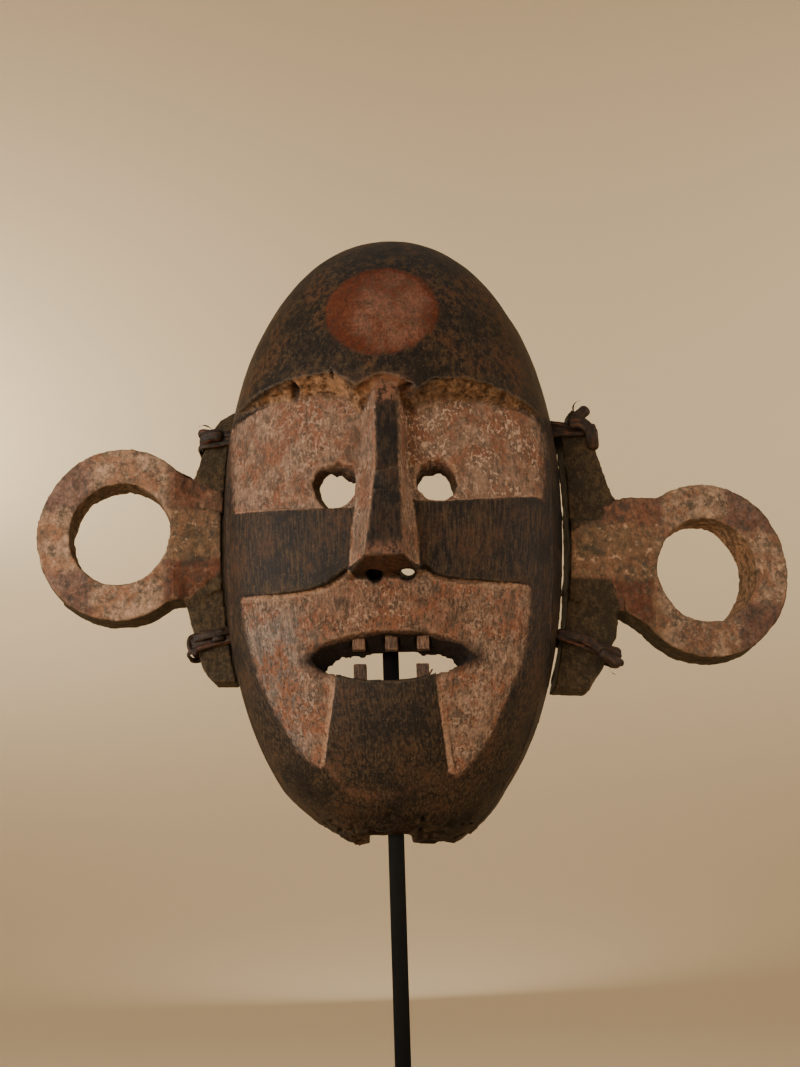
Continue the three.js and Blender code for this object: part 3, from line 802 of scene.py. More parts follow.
def peg(node, seed):
    lower = float("lower" in node)
    piece = fine_copy(f"peg_{node[6:]}", "tooth_wood", node, PEG_FACE, 3)
    places = on_mask(corners_of(piece.data))
    amount = 0.2 * rough(places * (1, 1, 0.4), 3, seed) + 0.12 * cuts(places, 3, seed + 5)
    push(piece.data, amount - 0.15)
    keep(piece.data, place=places + seed, lower=np.full(len(places), lower),
         sharp=sharpness(piece.data, 3))
    return piece


teeth = [node for node in sorted(frame["nodes"]) if node.startswith("tooth")]
pegs = [peg(node, 300 + 10 * n) for n, node in enumerate(teeth)]
print(len(pegs), "pegs")

# %% [markdown]
# The lashings are strips of split cane, drawn through slots in the rim and round the bar
# of an ear while wet. The plain model has one closed band in each place. Its inner line
# gives the path that the real strips follow, and each strip is a flat rounded section
# swept along that path, a little uneven, with its neighbours overlapping it.

# %% The path of a lashing
def inner_line(node):
    """The (x, forward) corners of a band's inner wall, in order, and its middle z."""
    mesh = frame["nodes"][node].data
    places = on_mask(corners_of(mesh))
    middle = (places.min(axis=0) + places.max(axis=0)) / 2
    found = set()
    for face in mesh.polygons:
        facing = turned_to_mask(np.array([face.normal]))[0]
        centre = places[list(face.vertices)].mean(axis=0)
        if abs(facing[2]) < 0.5 and np.dot(facing, middle - centre) > 0:
            found |= {tuple(np.round(places[corner, :2], 1)) for corner in face.vertices}
    return sorted(found, key=lambda p: math.atan2(p[1] - middle[1], p[0] - middle[0])), middle[2]


def evened(points, spacing):
    """A closed line as points at an even spacing."""
    ring = np.array([*points, points[0]], dtype=float)
    lengths = np.hypot(*np.diff(ring, axis=0).T)
    reached = np.concatenate([[0], np.cumsum(lengths)])
    marks = np.linspace(0, reached[-1], max(12, round(reached[-1] / spacing)), endpoint=False)
    return np.stack([np.interp(marks, reached, ring[:, axis]) for axis in (0, 1)], axis=1)


def relaxed(line, rounds):
    """A closed line with its corners rounded, as cane bends."""
    for _ in range(rounds):
        line = (np.roll(line, 1, axis=0) + 2 * line + np.roll(line, -1, axis=0)) / 4
    return line


loops = {node: inner_line(node) for node in sorted(frame["nodes"]) if node.startswith("lashing")}
print("corners on each loop:", {node: len(line) for node, (line, _) in loops.items()})

# %% [markdown]
# A strip is swept by hand: at each point of its path a small rounded section is set up
# square to the path, and neighbouring sections are joined with faces. The same function
# makes the closed windings, the loose ends and the stiff stubs, and it also stores where
# each corner lies along and across the strip, so that the fibres of the finish follow it.

# %% Sweeping a strip
NARROW, FEW_CORNERS, MANY_CORNERS = 3.2, 12, 32


def swept_strip(path, outwards, width, thick, closed, seed):
    """Points and faces of a strip along a path. outwards gives its flat side's direction."""
    count, around = len(path), FEW_CORNERS if width < NARROW else MANY_CORNERS
    ahead = np.roll(path, -1, axis=0) - np.roll(path, 1, axis=0)
    if not closed:
        ahead[0], ahead[-1] = path[1] - path[0], path[-1] - path[-2]
    ahead /= np.linalg.norm(ahead, axis=1)[:, None]
    sideways = np.cross(ahead, outwards)
    sideways /= np.linalg.norm(sideways, axis=1)[:, None]
    lift = np.cross(sideways, ahead)
    run = np.concatenate([[0], np.cumsum(np.linalg.norm(np.diff(path, axis=0), axis=1))])
    ends = np.ones(count)
    if not closed:
        blunt = max(0.5 * thick, 0.45 * width)
        into = np.clip(np.minimum(run, run[-1] - run) / blunt, 0.01, 1)
        ends = np.sqrt(into * (2 - into))
    points, fibres = [], []
    for n in range(around):
        angle = 2 * math.pi * n / around
        flat = math.copysign(abs(math.cos(angle)) ** 0.7, math.cos(angle)) * width / 2
        high = math.copysign(abs(math.sin(angle)) ** 0.9, math.sin(angle)) * thick / 2
        points.append(path + sideways * (flat * ends)[:, None] + lift * (high * ends)[:, None])
        fibres.append(np.stack([run, np.full(count, flat + seed * 7), np.full(count, high)], axis=1))
    points, fibres = (np.stack(part, axis=1).reshape(-1, 3) for part in (points, fibres))
    faces = []
    for i in range(count if closed else count - 1):
        here, there = i * around, (i + 1) % count * around
        for n in range(around):
            m = (n + 1) % around
            faces.append((here + n, here + m, there + m, there + n))
    if not closed:
        faces.append(tuple(range(around))[::-1])
        faces.append(tuple((count - 1) * around + n for n in range(around)))
    ribs = min(0.4, 0.07 * width)
    bumps = 0.3 * rough(points, 3.5, seed) + ribs * ripple(fibres * (0.08, 0.9, 0.2), 1, seed + 3)
    centre = np.repeat(path, around, axis=0)
    away = points - centre
    points = points + away / (np.linalg.norm(away, axis=1)[:, None] + 1e-6) * bumps[:, None]
    return points, faces, fibres


def winding(node, z_shift, width, thick, layer, slope, seed):
    """One closed turn of cane along a lashing's path, layer mm above the bar."""
    corners, middle_z = loops[node]
    line = relaxed(evened(corners, 0.8), 5)
    ahead = np.roll(line, -1, axis=0) - np.roll(line, 1, axis=0)
    normal = np.stack([ahead[:, 1], -ahead[:, 0]], axis=1)
    normal /= np.linalg.norm(normal, axis=1)[:, None]
    line = line + normal * (layer + thick / 2 + 0.35)
    turn = np.linspace(0, 2 * math.pi, len(line), endpoint=False)
    wave = ripple(np.stack([np.cos(turn), np.sin(turn), turn * 0 + seed], axis=1), 0.7, seed)
    outwards_by = np.abs(line[:, 0]) - np.abs(line[:, 0]).mean()
    z = middle_z + z_shift + slope * outwards_by + 0.5 * wave
    path = np.column_stack([line, z])
    outwards = np.column_stack([normal, np.zeros(len(normal))])
    return swept_strip(path, outwards, width, thick, True, seed)


def loose_end(points, width, thick, seed, spacing=0.5):
    """A strip along a few given points (x, forward, z), its flat side to the front."""
    curve = np.array(smooth_line_3d(points, spacing))
    outwards = np.tile((0.0, 1.0, 0.0), (len(curve), 1))
    return swept_strip(curve, outwards, width, thick, False, seed)


def smooth_line_3d(points, spacing):
    points = np.array(points, dtype=float)
    steps = max(3, int(np.linalg.norm(points[-1] - points[0]) / len(points) / spacing) + 3)
    flat = [smooth_line(points[:, [0, axis]], steps) for axis in (1, 2)]
    return [(a[0], a[1], b[1]) for a, b in zip(*flat)]


def joined(parts):
    """Several swept parts as one list of points, faces and fibres."""
    points, faces, fibres = [], [], []
    for part_points, part_faces, part_fibres in parts:
        start = sum(len(p) for p in points)
        faces += [tuple(corner + start for corner in face) for face in part_faces]
        points.append(part_points)
        fibres.append(part_fibres)
    return np.vstack(points), faces, np.vstack(fibres)


def cane_piece(name, slot, parts, *nodes):
    points, faces, fibres = joined(parts)
    mesh = bpy.data.meshes.new(name)
    mesh.from_pydata(in_room(points), [], faces)
    mesh.validate()
    mesh.shade_smooth()
    keep(mesh, fibre=fibres, place=points)
    return add_piece(name, mesh, slot, *nodes)


print("a strip is swept from", FEW_CORNERS, "or", MANY_CORNERS, "corners")

# %% [markdown]
# Each lashing is one broad wrinkled turn with narrower ones over it, and the ends that
# were left: a knob and a frayed fibre at the upper left, a small loop at the lower left, a
# folded end and a stiff stub at the upper right, and a flat strip that slants down to a
# nub at the lower right. A splinter of wood stands up from the lower lip.

# %% Lashings
TURNS = {  # each turn: shift in z, width, thickness, height above the bar, slope
    "lashing_left_top": [(0.3, 7.4, 2.2, 0, 0), (2.0, 3.4, 1.6, 1.4, 0.12),
                         (-1.7, 3.2, 1.5, 1.5, -0.16)],
    "lashing_left_bottom": [(0.4, 6.2, 1.9, 0, -0.16), (-1.2, 2.8, 1.5, 1.4, -0.32)],
    "lashing_right_top": [(0.8, 7.4, 2.0, 0, 0.02), (3.2, 2.6, 1.5, 1.3, -0.12),
                          (-2.0, 2.8, 1.5, 1.3, 0.1)],
    "lashing_right_bottom": [(1.0, 4.8, 1.6, 0, -0.28), (-1.6, 2.4, 1.5, 1.2, -0.36)],
}
ENDS = {  # each end: its points, width, thickness
    "lashing_left_top": [
        ([(-88, 8.8, 70.4), (-93, 9.2, 70.6), (-97, 7.8, 70.1), (-99.6, 4, 69.4)], 6.6, 3.6),
        ([(-94, 6.5, 74.6), (-96.5, 7, 76.3), (-99, 7.4, 76.9), (-101, 7.4, 76.2)], 0.4, 0.4)],
    "lashing_left_bottom": [
        ([(-98.5, 3.5, -35.5), (-103.4, 4, -36.4), (-105, 5, -39.4), (-104.4, 6, -43.6),
          (-101.9, 6.6, -45.8), (-100.2, 6.6, -43.4)], 2.4, 2.0),
        ([(-103, 6, -38.4), (-96.4, 8.4, -37.2), (-90, 8.9, -35.8), (-83, 7.4, -34.4)], 4.2, 1.9),
        ([(-92.6, 8.2, -39.6), (-89.4, 9, -38.8), (-86.2, 8, -38)], 3.2, 2.6)],
    "lashing_right_top": [
        ([(92, 9, 71), (98.2, 8.6, 71), (103, 6.8, 67.6), (104.8, 4.4, 62),
          (104.6, 1.6, 58)], 6.2, 2.6),
        ([(95.2, 7.2, 73), (98.6, 7.2, 76), (102.4, 6.8, 79.8)], 6.2, 5.4),
        ([(95, 6, 77.6), (95, 6.6, 80.6), (96.4, 6.8, 83), (98.6, 6.6, 84)], 0.4, 0.4)],
    "lashing_right_bottom": [
        ([(82.6, 8, -40.8), (90, 8.4, -41.8), (97, 7.8, -44), (104, 6.2, -48.4),
          (109.6, 4.2, -52.8)], 4.8, 1.9),
        ([(104, 5.8, -50), (109.4, 5.2, -53.6), (114.4, 4.2, -57.6)], 6, 4.8),
        ([(108.8, 3, -58.4), (110, 3.2, -60.6), (112, 3.4, -62)], 0.4, 0.4)],
}

lashings = []
for number, node in enumerate(sorted(loops)):
    seed = 400 + 20 * number
    parts = [winding(node, *turn, seed + n) for n, turn in enumerate(TURNS[node])]
    parts += [loose_end(*end, seed + 8 + n) for n, end in enumerate(ENDS[node])]
    lashings.append(cane_piece(f"cane_{node[8:]}", "lashing_cane", parts, node))
print("lashings:", [len(piece.data.polygons) for piece in lashings], "faces")

SPLINTER = [(19.4, 59.5, -74.6), (21, 60.2, -72.4), (22.6, 60.8, -70)]
splinter = cane_piece("lip_splinter", "mask_wood", [loose_end(SPLINTER, 0.7, 0.6, 490, 0.3)])
print("splinter:", len(splinter.data.polygons), "faces")

# %% [markdown]
# The stand is shop-made: a square bar with its mill edges eased, welded to a plate, all
# painted matt black. A bevel eases the edges.

# %% Stand
def eased_copy(name, node, ease):
    """A piece with a plain node's form and its edges eased by a radius in millimetres."""
    shape = bmesh.new()
    shape.from_mesh(frame["nodes"][node].data)
    bmesh.ops.remove_doubles(shape, verts=shape.verts, dist=0.02 * MM)
    bmesh.ops.dissolve_limit(shape, angle_limit=math.radians(1), verts=shape.verts,
                             edges=shape.edges)
    sharp = [edge for edge in shape.edges if edge.calc_face_angle(0) > math.radians(30)]
    bmesh.ops.bevel(shape, geom=sharp, offset=ease * MM, segments=3, profile=0.5,
                    affect="EDGES")
    mesh = bpy.data.meshes.new(name)
    shape.to_mesh(mesh)
    shape.free()
    mesh.shade_smooth()
    mesh.set_sharp_from_angle(angle=math.radians(40))
    keep(mesh, place=corners_of(mesh) / MM)
    return add_piece(name, mesh, "stand_steel", node)


rod = eased_copy("stand_bar", "stand_rod", 0.6)
foot = eased_copy("stand_foot", "stand_plate", 1.2)
print("stand bar and foot:", len(rod.data.polygons), len(foot.data.polygons), "faces")

# %% [markdown]
# Finishes are wired from nodes. Wiring by hand needs the same few moves again and again,
# so a small bench does them: it adds a node, feeds its sockets, and hands back the output.

# %% A bench for wiring nodes
class Bench:
    """Adds nodes to one tree and wires them together."""

    def __init__(self, tree):
        self.tree = tree

    def feed(self, socket, value):
        if isinstance(value, bpy.types.NodeSocket):
            self.tree.links.new(value, socket)
        else:
            socket.default_value = value

    def node(self, kind, inputs={}, **settings):
        """A node of a kind with its inputs, by name or number, fed."""
        made = self.tree.nodes.new("ShaderNode" + kind)
        for name, value in settings.items():
            setattr(made, name, value)
        for name, value in inputs.items():
            self.feed(made.inputs[name], value)
        return made

    def maths(self, operation, first, second=0.0):
        return self.node("Math", {0: first, 1: second}, operation=operation).outputs[0]

    def times(self, first, *others):
        """Several masks or numbers multiplied."""
        for other in others:
            first = self.maths("MULTIPLY", first, other)
        return first

    def stretched(self, place, size):
        """A place divided by a size along each axis."""
        return self.node("VectorMath", {0: place, 1: size}, operation="DIVIDE").outputs[0]

    def scaled(self, tint, amount):
        """A colour made lighter or darker by an amount."""
        return self.node("VectorMath", {0: tint, 1: amount}, operation="MULTIPLY").outputs[0]

    def noise(self, place, size=1.0, shift=0.0, detail=3.0, roughness=0.55):
        """Noise with features of a size in millimetres; shift reads another part of it."""
        sizes = size if isinstance(size, tuple) else (size, size, size)
        spot = self.node("VectorMath", {0: place, 1: [1 / part for part in sizes],
                                        2: (7.31 * shift, 3.77 * shift, 5.19 * shift)},
                         operation="MULTIPLY_ADD").outputs[0]
        return self.node("TexNoise", {"Vector": spot, "Scale": 1.0, "Detail": detail,
                                      "Roughness": roughness}).outputs["Fac"]

    def remap(self, value, low, high, new_low=0.0, new_high=1.0):
        return self.node("MapRange", {"Value": value, "From Min": low, "From Max": high,
                                      "To Min": new_low, "To Max": new_high},
                         interpolation_type="SMOOTHSTEP").outputs["Result"]

    def mixed(self, amount, under, over, blend="MIX"):
        """Two colours mixed."""
        return self.node("Mix", {0: amount, 6: under, 7: over}, data_type="RGBA",
                         blend_type=blend).outputs[2]

    def blended(self, amount, under, over):
        """Two numbers mixed."""
        return self.node("Mix", {0: amount, 2: under, 3: over}, data_type="FLOAT").outputs[0]

    def read(self, name, vector=False):
        return self.node("Attribute", attribute_name=name).outputs["Vector" if vector else "Fac"]

    def use(self, group, **inputs):
        """A node group with its named inputs fed."""
        return self.node("Group", inputs, node_tree=group).outputs


def colour(code):
    """A colour such as 8c5f48 as the linear numbers that a shader uses."""
    parts = [int(code[n:n + 2], 16) / 255 for n in (0, 2, 4)]
    return (*[p / 12.92 if p < 0.04045 else ((p + 0.055) / 1.055) ** 2.4 for p in parts], 1)


def colours(codes):
    return [colour(code) for code in codes.split()]


SOCKETS = {1: "NodeSocketFloat", 3: "NodeSocketVector", 4: "NodeSocketColor"}
ORIGIN = (0.0, 0.0, 0.0)


def new_group(name, inputs, outputs):
    """An empty node group: its bench, its inputs and the node that takes its outputs."""
    tree = bpy.data.node_groups.new(name, "ShaderNodeTree")
    for title, start in inputs.items():
        kind = SOCKETS[np.size(start)]
        tree.interface.new_socket(title, in_out="INPUT", socket_type=kind).default_value = start
    for title in outputs:
        kind = SOCKETS[4 if title == "Color" else 1]
        tree.interface.new_socket(title, in_out="OUTPUT", socket_type=kind)
    entry, leave = tree.nodes.new("NodeGroupInput"), tree.nodes.new("NodeGroupOutput")
    return tree, Bench(tree), entry.outputs, leave.inputs


print("linear value of mid grey", round(colour("808080")[0], 3))

# %% [markdown]
# Old handled wood is nearly black where hands and soot have darkened it, and brown where
# the grain shows through. On a level face it is mottled, and along the grain it is drawn
# out in fine streaks. Broad clouds are warmer or darker, and tiny specks catch the light.

# %% Group: old wood
def make_old_wood():
    tree, bench, given, result = new_group("old wood", {
        "Place": ORIGIN, "Grain": (1.1, 1.1, 11), "Streaky": 1.0, "Dark": colour("17110b"),
        "Brown": colour("47331f"), "Warm": colour("56321d"), "Speck": colour("75603f")},
        ["Color", "Height"])
    place = given["Place"]
    streaks = bench.noise(bench.stretched(place, given["Grain"]), 1, 0, 4, 0.7)
    mottle = bench.noise(place, (2.8, 2.8, 3.6), 2, 5, 0.75)
    clouds = bench.noise(place, 22, 5, 5, 0.65)
    grain = bench.blended(bench.times(given["Streaky"], 0.75), mottle, streaks)
    brown = bench.mixed(bench.remap(grain, 0.42, 0.63), given["Dark"], given["Brown"])
    warmth = bench.times(bench.remap(clouds, 0.46, 0.66, 0, 0.7),
                         bench.remap(mottle, 0.36, 0.64))
    warm = bench.mixed(warmth, brown, given["Warm"])
    dark = bench.mixed(bench.remap(clouds, 0.36, 0.5, 0.75, 0), warm, given["Dark"])
    specks = bench.remap(bench.noise(place, (0.9, 0.9, 1.3), 7, 1, 0.6), 0.62, 0.72, 0, 0.5)
    bench.feed(result["Color"], bench.mixed(specks, dark, given["Speck"]))
    bench.feed(result["Height"], grain)
    return tree


old_wood = make_old_wood()
print("group:", old_wood.name)

# %% [markdown]
# The paint is earth pigment rubbed on by hand and mostly worn off again. It lies in
# clouds of two or three tones, with fine strokes down the face and streaks of bare grey
# wood. Pale clay stays behind in little curls and dots where the wood is pitted. The
# curls are the thin lines on which a soft noise passes its middle, cut into short pieces
# by a second noise and crowded together by a third.

# %% Group: rubbed pigment
def make_pigment():
    tree, bench, given, result = new_group("rubbed pigment", {
        "Place": ORIGIN, "Base": colour("82593f"), "Red": colour("7c472c"),
        "Grey": colour("5f5347"), "Fleck": colour("c8a486"), "Flecks": 1.0, "Strokes": 1.0},
        ["Color", "Height"])
    place = given["Place"]
    broad = bench.noise(place, 13, 1, 4, 0.62)
    small = bench.noise(place, (3.4, 3.4, 4.6), 3, 5, 0.72)
    reds = bench.mixed(bench.remap(broad, 0.43, 0.57), given["Base"], given["Red"])
    greys = bench.mixed(bench.remap(small, 0.45, 0.63, 0, 0.9), reds, given["Grey"])
    grit = bench.remap(bench.noise(place, (1.1, 1.1, 1.5), 29, 3, 0.7), 0.36, 0.64, 0.82, 1.16)
    greys = bench.scaled(greys, grit)
    strokes = bench.remap(bench.noise(place, (1.1, 1.1, 8), 5, 2, 0.6), 0.35, 0.65, 0.76, 1.2)
    stroked = bench.mixed(given["Strokes"], greys, bench.scaled(greys, strokes))
    worn = bench.remap(bench.noise(place, (6, 6, 13), 19, 5, 0.72), 0.51, 0.6)
    bare = bench.times(worn, given["Strokes"], 0.85)
    streaked = bench.mixed(bare, stroked, bench.scaled(given["Grey"], strokes))

    soft = bench.noise(place, (4.2, 4.2, 5.2), 7, 1, 0.5)
    from_middle = bench.maths("ABSOLUTE", bench.maths("SUBTRACT", soft, 0.5))
    thin = bench.remap(from_middle, 0.025, 0.085, 1, 0)
    pieces = bench.remap(bench.noise(place, 2.1, 9, 2, 0.6), 0.47, 0.58)
    dots = bench.remap(bench.noise(place, (1.3, 1.3, 1.9), 13, 2, 0.6), 0.56, 0.66, 0, 0.9)
    crowd = bench.remap(bench.noise(place, 17, 11, 3, 0.6), 0.4, 0.6, 0.1, 1)
    curls = bench.maths("MAXIMUM", bench.times(thin, pieces), dots)
    flecks = bench.times(curls, crowd, given["Flecks"])
    light = bench.mixed(bench.times(flecks, 0.8), streaked, given["Fleck"])
    pores = bench.remap(bench.noise(place, (1, 1, 1.8), 17, 1, 0.6), 0.6, 0.7, 0, 0.5)
    pores = bench.times(pores, given["Strokes"])
    bench.feed(result["Color"], bench.mixed(pores, light, given["Grey"], "MULTIPLY"))
    raised = bench.maths("SUBTRACT", bench.maths("ADD", small, flecks), pores)
    bench.feed(result["Height"], raised)
    return tree


pigment = make_pigment()
print("group:", pigment.name)

# %% [markdown]
# A painted part never ends on a clean line. This group reads the stored distance to a
# border, shifts it a little to and fro with noise, and turns it into a mask.

# %% Group: ragged border
def make_border():
    tree, bench, given, result = new_group("ragged border", {
        "Distance": 0.0, "Place": ORIGIN, "Ragged": 1.0, "Soft": 0.5, "Size": 3.0},
        ["Mask", "Distance"])
    wander = bench.noise(bench.stretched(given["Place"], given["Size"]), 1, 0, 3)
    shift = bench.times(bench.maths("SUBTRACT", wander, 0.5), given["Ragged"], 3)
    moved = bench.maths("ADD", given["Distance"], shift)
    low = bench.times(given["Soft"], -1)
    bench.feed(result["Mask"], bench.remap(moved, low, given["Soft"]))
    bench.feed(result["Distance"], moved)
    return tree


ragged_border = make_border()
print("group:", ragged_border.name)

# %% [markdown]
# Hands rub the high edges pale and leave dust in the corners. The stored sharpness says
# which is which: above zero is an edge, below zero a corner. Both masks are broken up by
# noise so that no edge is worn evenly.

# %% Group: wear and dust
def make_wear():
    tree, bench, given, result = new_group("wear and dust", {
        "Sharp": 0.0, "Place": ORIGIN, "From": 0.1, "To": 0.4}, ["Worn", "Dust"])
    broken = bench.remap(bench.noise(given["Place"], 2.8, 5, 4, 0.65), 0.35, 0.6, 0.25, 1)
    worn = bench.remap(given["Sharp"], given["From"], given["To"])
    settled = bench.remap(bench.times(given["Sharp"], -1), given["From"], given["To"])
    bench.feed(result["Worn"], bench.times(worn, broken))
    bench.feed(result["Dust"], bench.times(settled, broken))
    return tree


wear_and_dust = make_wear()
print("group:", wear_and_dust.name)

# %% [markdown]
# A material gathers colours, a roughness and a height, and the shader itself stays plain
# to see in it. Height becomes relief finer than the mesh, through a bump node.

# %% Materials share a start and an end
def new_material(name):
    material = bpy.data.materials.new(name)
    material.use_nodes = True
    tree = material.node_tree
    return material, Bench(tree), tree.nodes["Principled BSDF"]


def feed_shader(bench, shader, shade, roughness, shine, height, depth, strength=1.0):
    """Feeds a material's shader. The height makes relief of a depth in millimetres."""
    bump = bench.node("Bump", {"Height": height, "Distance": depth * MM, "Strength": strength})
    for name, value in (("Base Color", shade), ("Roughness", roughness),
                        ("Specular IOR Level", shine), ("Normal", bump.outputs["Normal"])):
        bench.feed(shader.inputs[name], value)


def dress(material, *pieces):
    """Gives pieces their only material."""
    for piece in pieces:
        piece.data.materials.clear()
        piece.data.materials.append(material)
    print(material.name, "has", len(material.node_tree.nodes), "nodes")


# %% [markdown]
# The mask: dark old wood under everything, dusty pink pigment in the fields, and a
# red-ochre ring with a paler middle on the forehead. One group call makes each layer: its
# colours are mixed first by where the point lies, so the forehead, the crumbled brow, the
# worn chin and the hollow are one wood with different tones. Then come the pale seams,
# partly worn paint and partly painted highlight, the painted shadow in the grooves beside
# them, wear and dust, and last the painted shade in the dents, the mouth, the nostrils, the
# eye holes and under the nose. The strip down the nose gets painted shade as well.

# %% Finish of the mask
WOOD_TONES = {  # dark, brown and warm
    "streaky": "150f0a 493826 4f321f",
    "chin": "0f0b07 433222 432b1b",
    "ledge": "3c2b1e 8a694c 7c573e",
    "hollow": "2a1d13 5f452e 4f3420",
}
FIELD_TONES = (  # base, red, grey and fleck; each dusty, earthy, ashy, on the ring, its middle
    "876a57 7b5b48 7f6c5f 5a2c18 704939", "7c533e 754c37 7c523b 512511 5f3524",
    "57493d 4d3e32 5a524b 452719 533d2e", "c4a389 b28f74 b6a08f 83532f a07c5e")


def make_mask_finish():
    material, bench, shader = new_material("mask finish")
    place = bench.read("place", vector=True)
    tones = colours("16100a 433320 57361f")
    for region, codes in WOOD_TONES.items():
        inside = bench.read(region)
        tones = [bench.mixed(inside, tone, new) for tone, new in zip(tones, colours(codes))]
    ledge = bench.read("ledge")
    speck = bench.mixed(ledge, *colours("5f4d39 8a6b50"))
    wood = bench.use(old_wood, Place=place, Streaky=bench.read("streaky"), Dark=tones[0],
                     Brown=tones[1], Warm=tones[2], Speck=speck)
    crumbs = bench.noise(place, (2.1, 6, 2), 23, 5, 0.75)
    crumbled = bench.scaled(wood["Color"], bench.remap(crumbs, 0.34, 0.66, 0.45, 1.3))
    dusted = bench.times(bench.remap(bench.noise(place, 7, 27, 4, 0.7), 0.4, 0.6),
                         bench.remap(bench.read("field"), -6, -1, 0, 0.8), bench.read("dusted"))
    dust = bench.scaled(colour("a9805f")[:3], bench.remap(crumbs, 0.36, 0.64, 0.6, 1.15))
    crumbled = bench.mixed(dusted, crumbled, dust)
    # Painted shade darkens the dark wood of the nose strip further.
    ridged = bench.scaled(wood["Color"], bench.blended(bench.read("ridge"), 1, 0.62))
    bare_wood = bench.mixed(ledge, ridged, crumbled)
    patchy = bench.remap(bench.noise(place, (3, 3, 4), 25, 5, 0.72), 0.38, 0.56)
    bare_wood = bench.mixed(bench.times(patchy, bench.read("rubbed")), bare_wood,
                            colour("7d5540"))

    soft = bench.read("soft")
    field = bench.use(ragged_border, Distance=bench.read("field"), Place=place, Ragged=soft,
                      Soft=soft)
    in_disc = bench.use(ragged_border, Distance=bench.read("disc"), Place=place,
                        Ragged=1.2, Soft=1.6, Size=6)["Mask"]
    in_pale = bench.use(ragged_border, Distance=bench.read("disc_pale"), Place=place,
                        Ragged=5, Soft=5, Size=9)["Mask"]
    disc_side = bench.remap(bench.read("disc"), -8, -7)
    ruddy, greyish = bench.read("ruddy"), bench.read("greyish")
    paint = [bench.mixed(disc_side, bench.mixed(greyish, bench.mixed(ruddy, dusty, earthy), ashy),
                         bench.mixed(in_pale, ring, middle))
             for dusty, earthy, ashy, ring, middle in map(colours, FIELD_TONES)]
    painted = bench.maths("MAXIMUM", field["Mask"], in_disc)
    never = bench.maths("MAXIMUM", ledge, bench.read("hollow"))
    painted = bench.times(painted, bench.maths("SUBTRACT", 1, never))
    pink = bench.use(pigment, Place=place, Base=paint[0], Red=paint[1], Grey=paint[2],
                     Fleck=paint[3], Flecks=bench.blended(disc_side, bench.read("crust"), 0.22),
                     Strokes=bench.blended(disc_side, bench.read("strokes"), 0.35))
    shade = bench.mixed(painted, bare_wood, pink["Color"])

    broken = bench.remap(bench.noise(place, 2.2, 21, 3, 0.7), 0.38, 0.58, 0.1, 1)
    # The pale seam: partly paint worn off, partly painted highlight along the edge.
    inner_edge = bench.maths("SUBTRACT", bench.read("seam_width"), field["Distance"])
    rubbed = bench.times(bench.remap(field["Distance"], 0, 0.6),
                         bench.remap(inner_edge, -0.5, 0.6))
    seam = bench.times(rubbed, bench.read("seam"), broken)
    shade = bench.mixed(bench.times(seam, 0.85), shade, colour("b48b6c"))
    # Painted shadow in the groove beside the seam.
    groove = bench.times(bench.remap(field["Distance"], -1.05, -0.35),
                         bench.remap(field["Distance"], -0.1, 0.6, 1, 0), bench.read("groove"))
    shade = bench.mixed(groove, shade, colour("120c08"))

    edges = bench.use(wear_and_dust, Sharp=bench.read("sharp"), Place=place, From=0.1, To=0.42)
    on_edges = bench.times(edges["Worn"], bench.blended(painted, 0.28, 0.35))
    shade = bench.mixed(on_edges, shade, bench.mixed(painted, *colours("75604a a98468")))
    settled = bench.times(edges["Dust"], 0.3)
    shade = bench.mixed(settled, shade, bench.mixed(ledge, *colours("5a4b3a 1d140c")))
    # Painted shade: where dark is high the colour goes nearly black.
    shade = bench.mixed(bench.times(bench.read("dark"), 0.94), shade, colour("070504"))

    roughness = bench.blended(painted, bench.remap(wood["Height"], 0.35, 0.7, 0.52, 0.68), 0.85)
    height = bench.blended(painted, wood["Height"], pink["Height"])
    feed_shader(bench, shader, shade, roughness, 0.22, height, 0.4)
    return material


dress(make_mask_finish(), mask, splinter)

# %% [markdown]
# The ears carry the same pigments in another pattern: the ring's four arms and the neck
# are light, the corners between them red. Scuffs of bare grey-black wood and bright spots
# of clay break the paint. The bar, the edges and the back were never painted. Light and
# shade are painted in as well: the right ear's ring is darker, the left ear's bare wood and
# the walls of the holes are lighter, and the faces that turn to the mask get painted shade.

# %% Finish of the ears
EAR_TONES = (  # base, red, grey and fleck; each on the ring, the neck, the red parts of both
    "a5846b 71573f 7c5f50 5c3828 6e4c3b", "8d654c 77563f 725142 613b2a 714b38",
    "6a5c4d 544737 584b43 4d3d30 4d3d30", "c6a88e 93745c 9a806f 876852 876852")


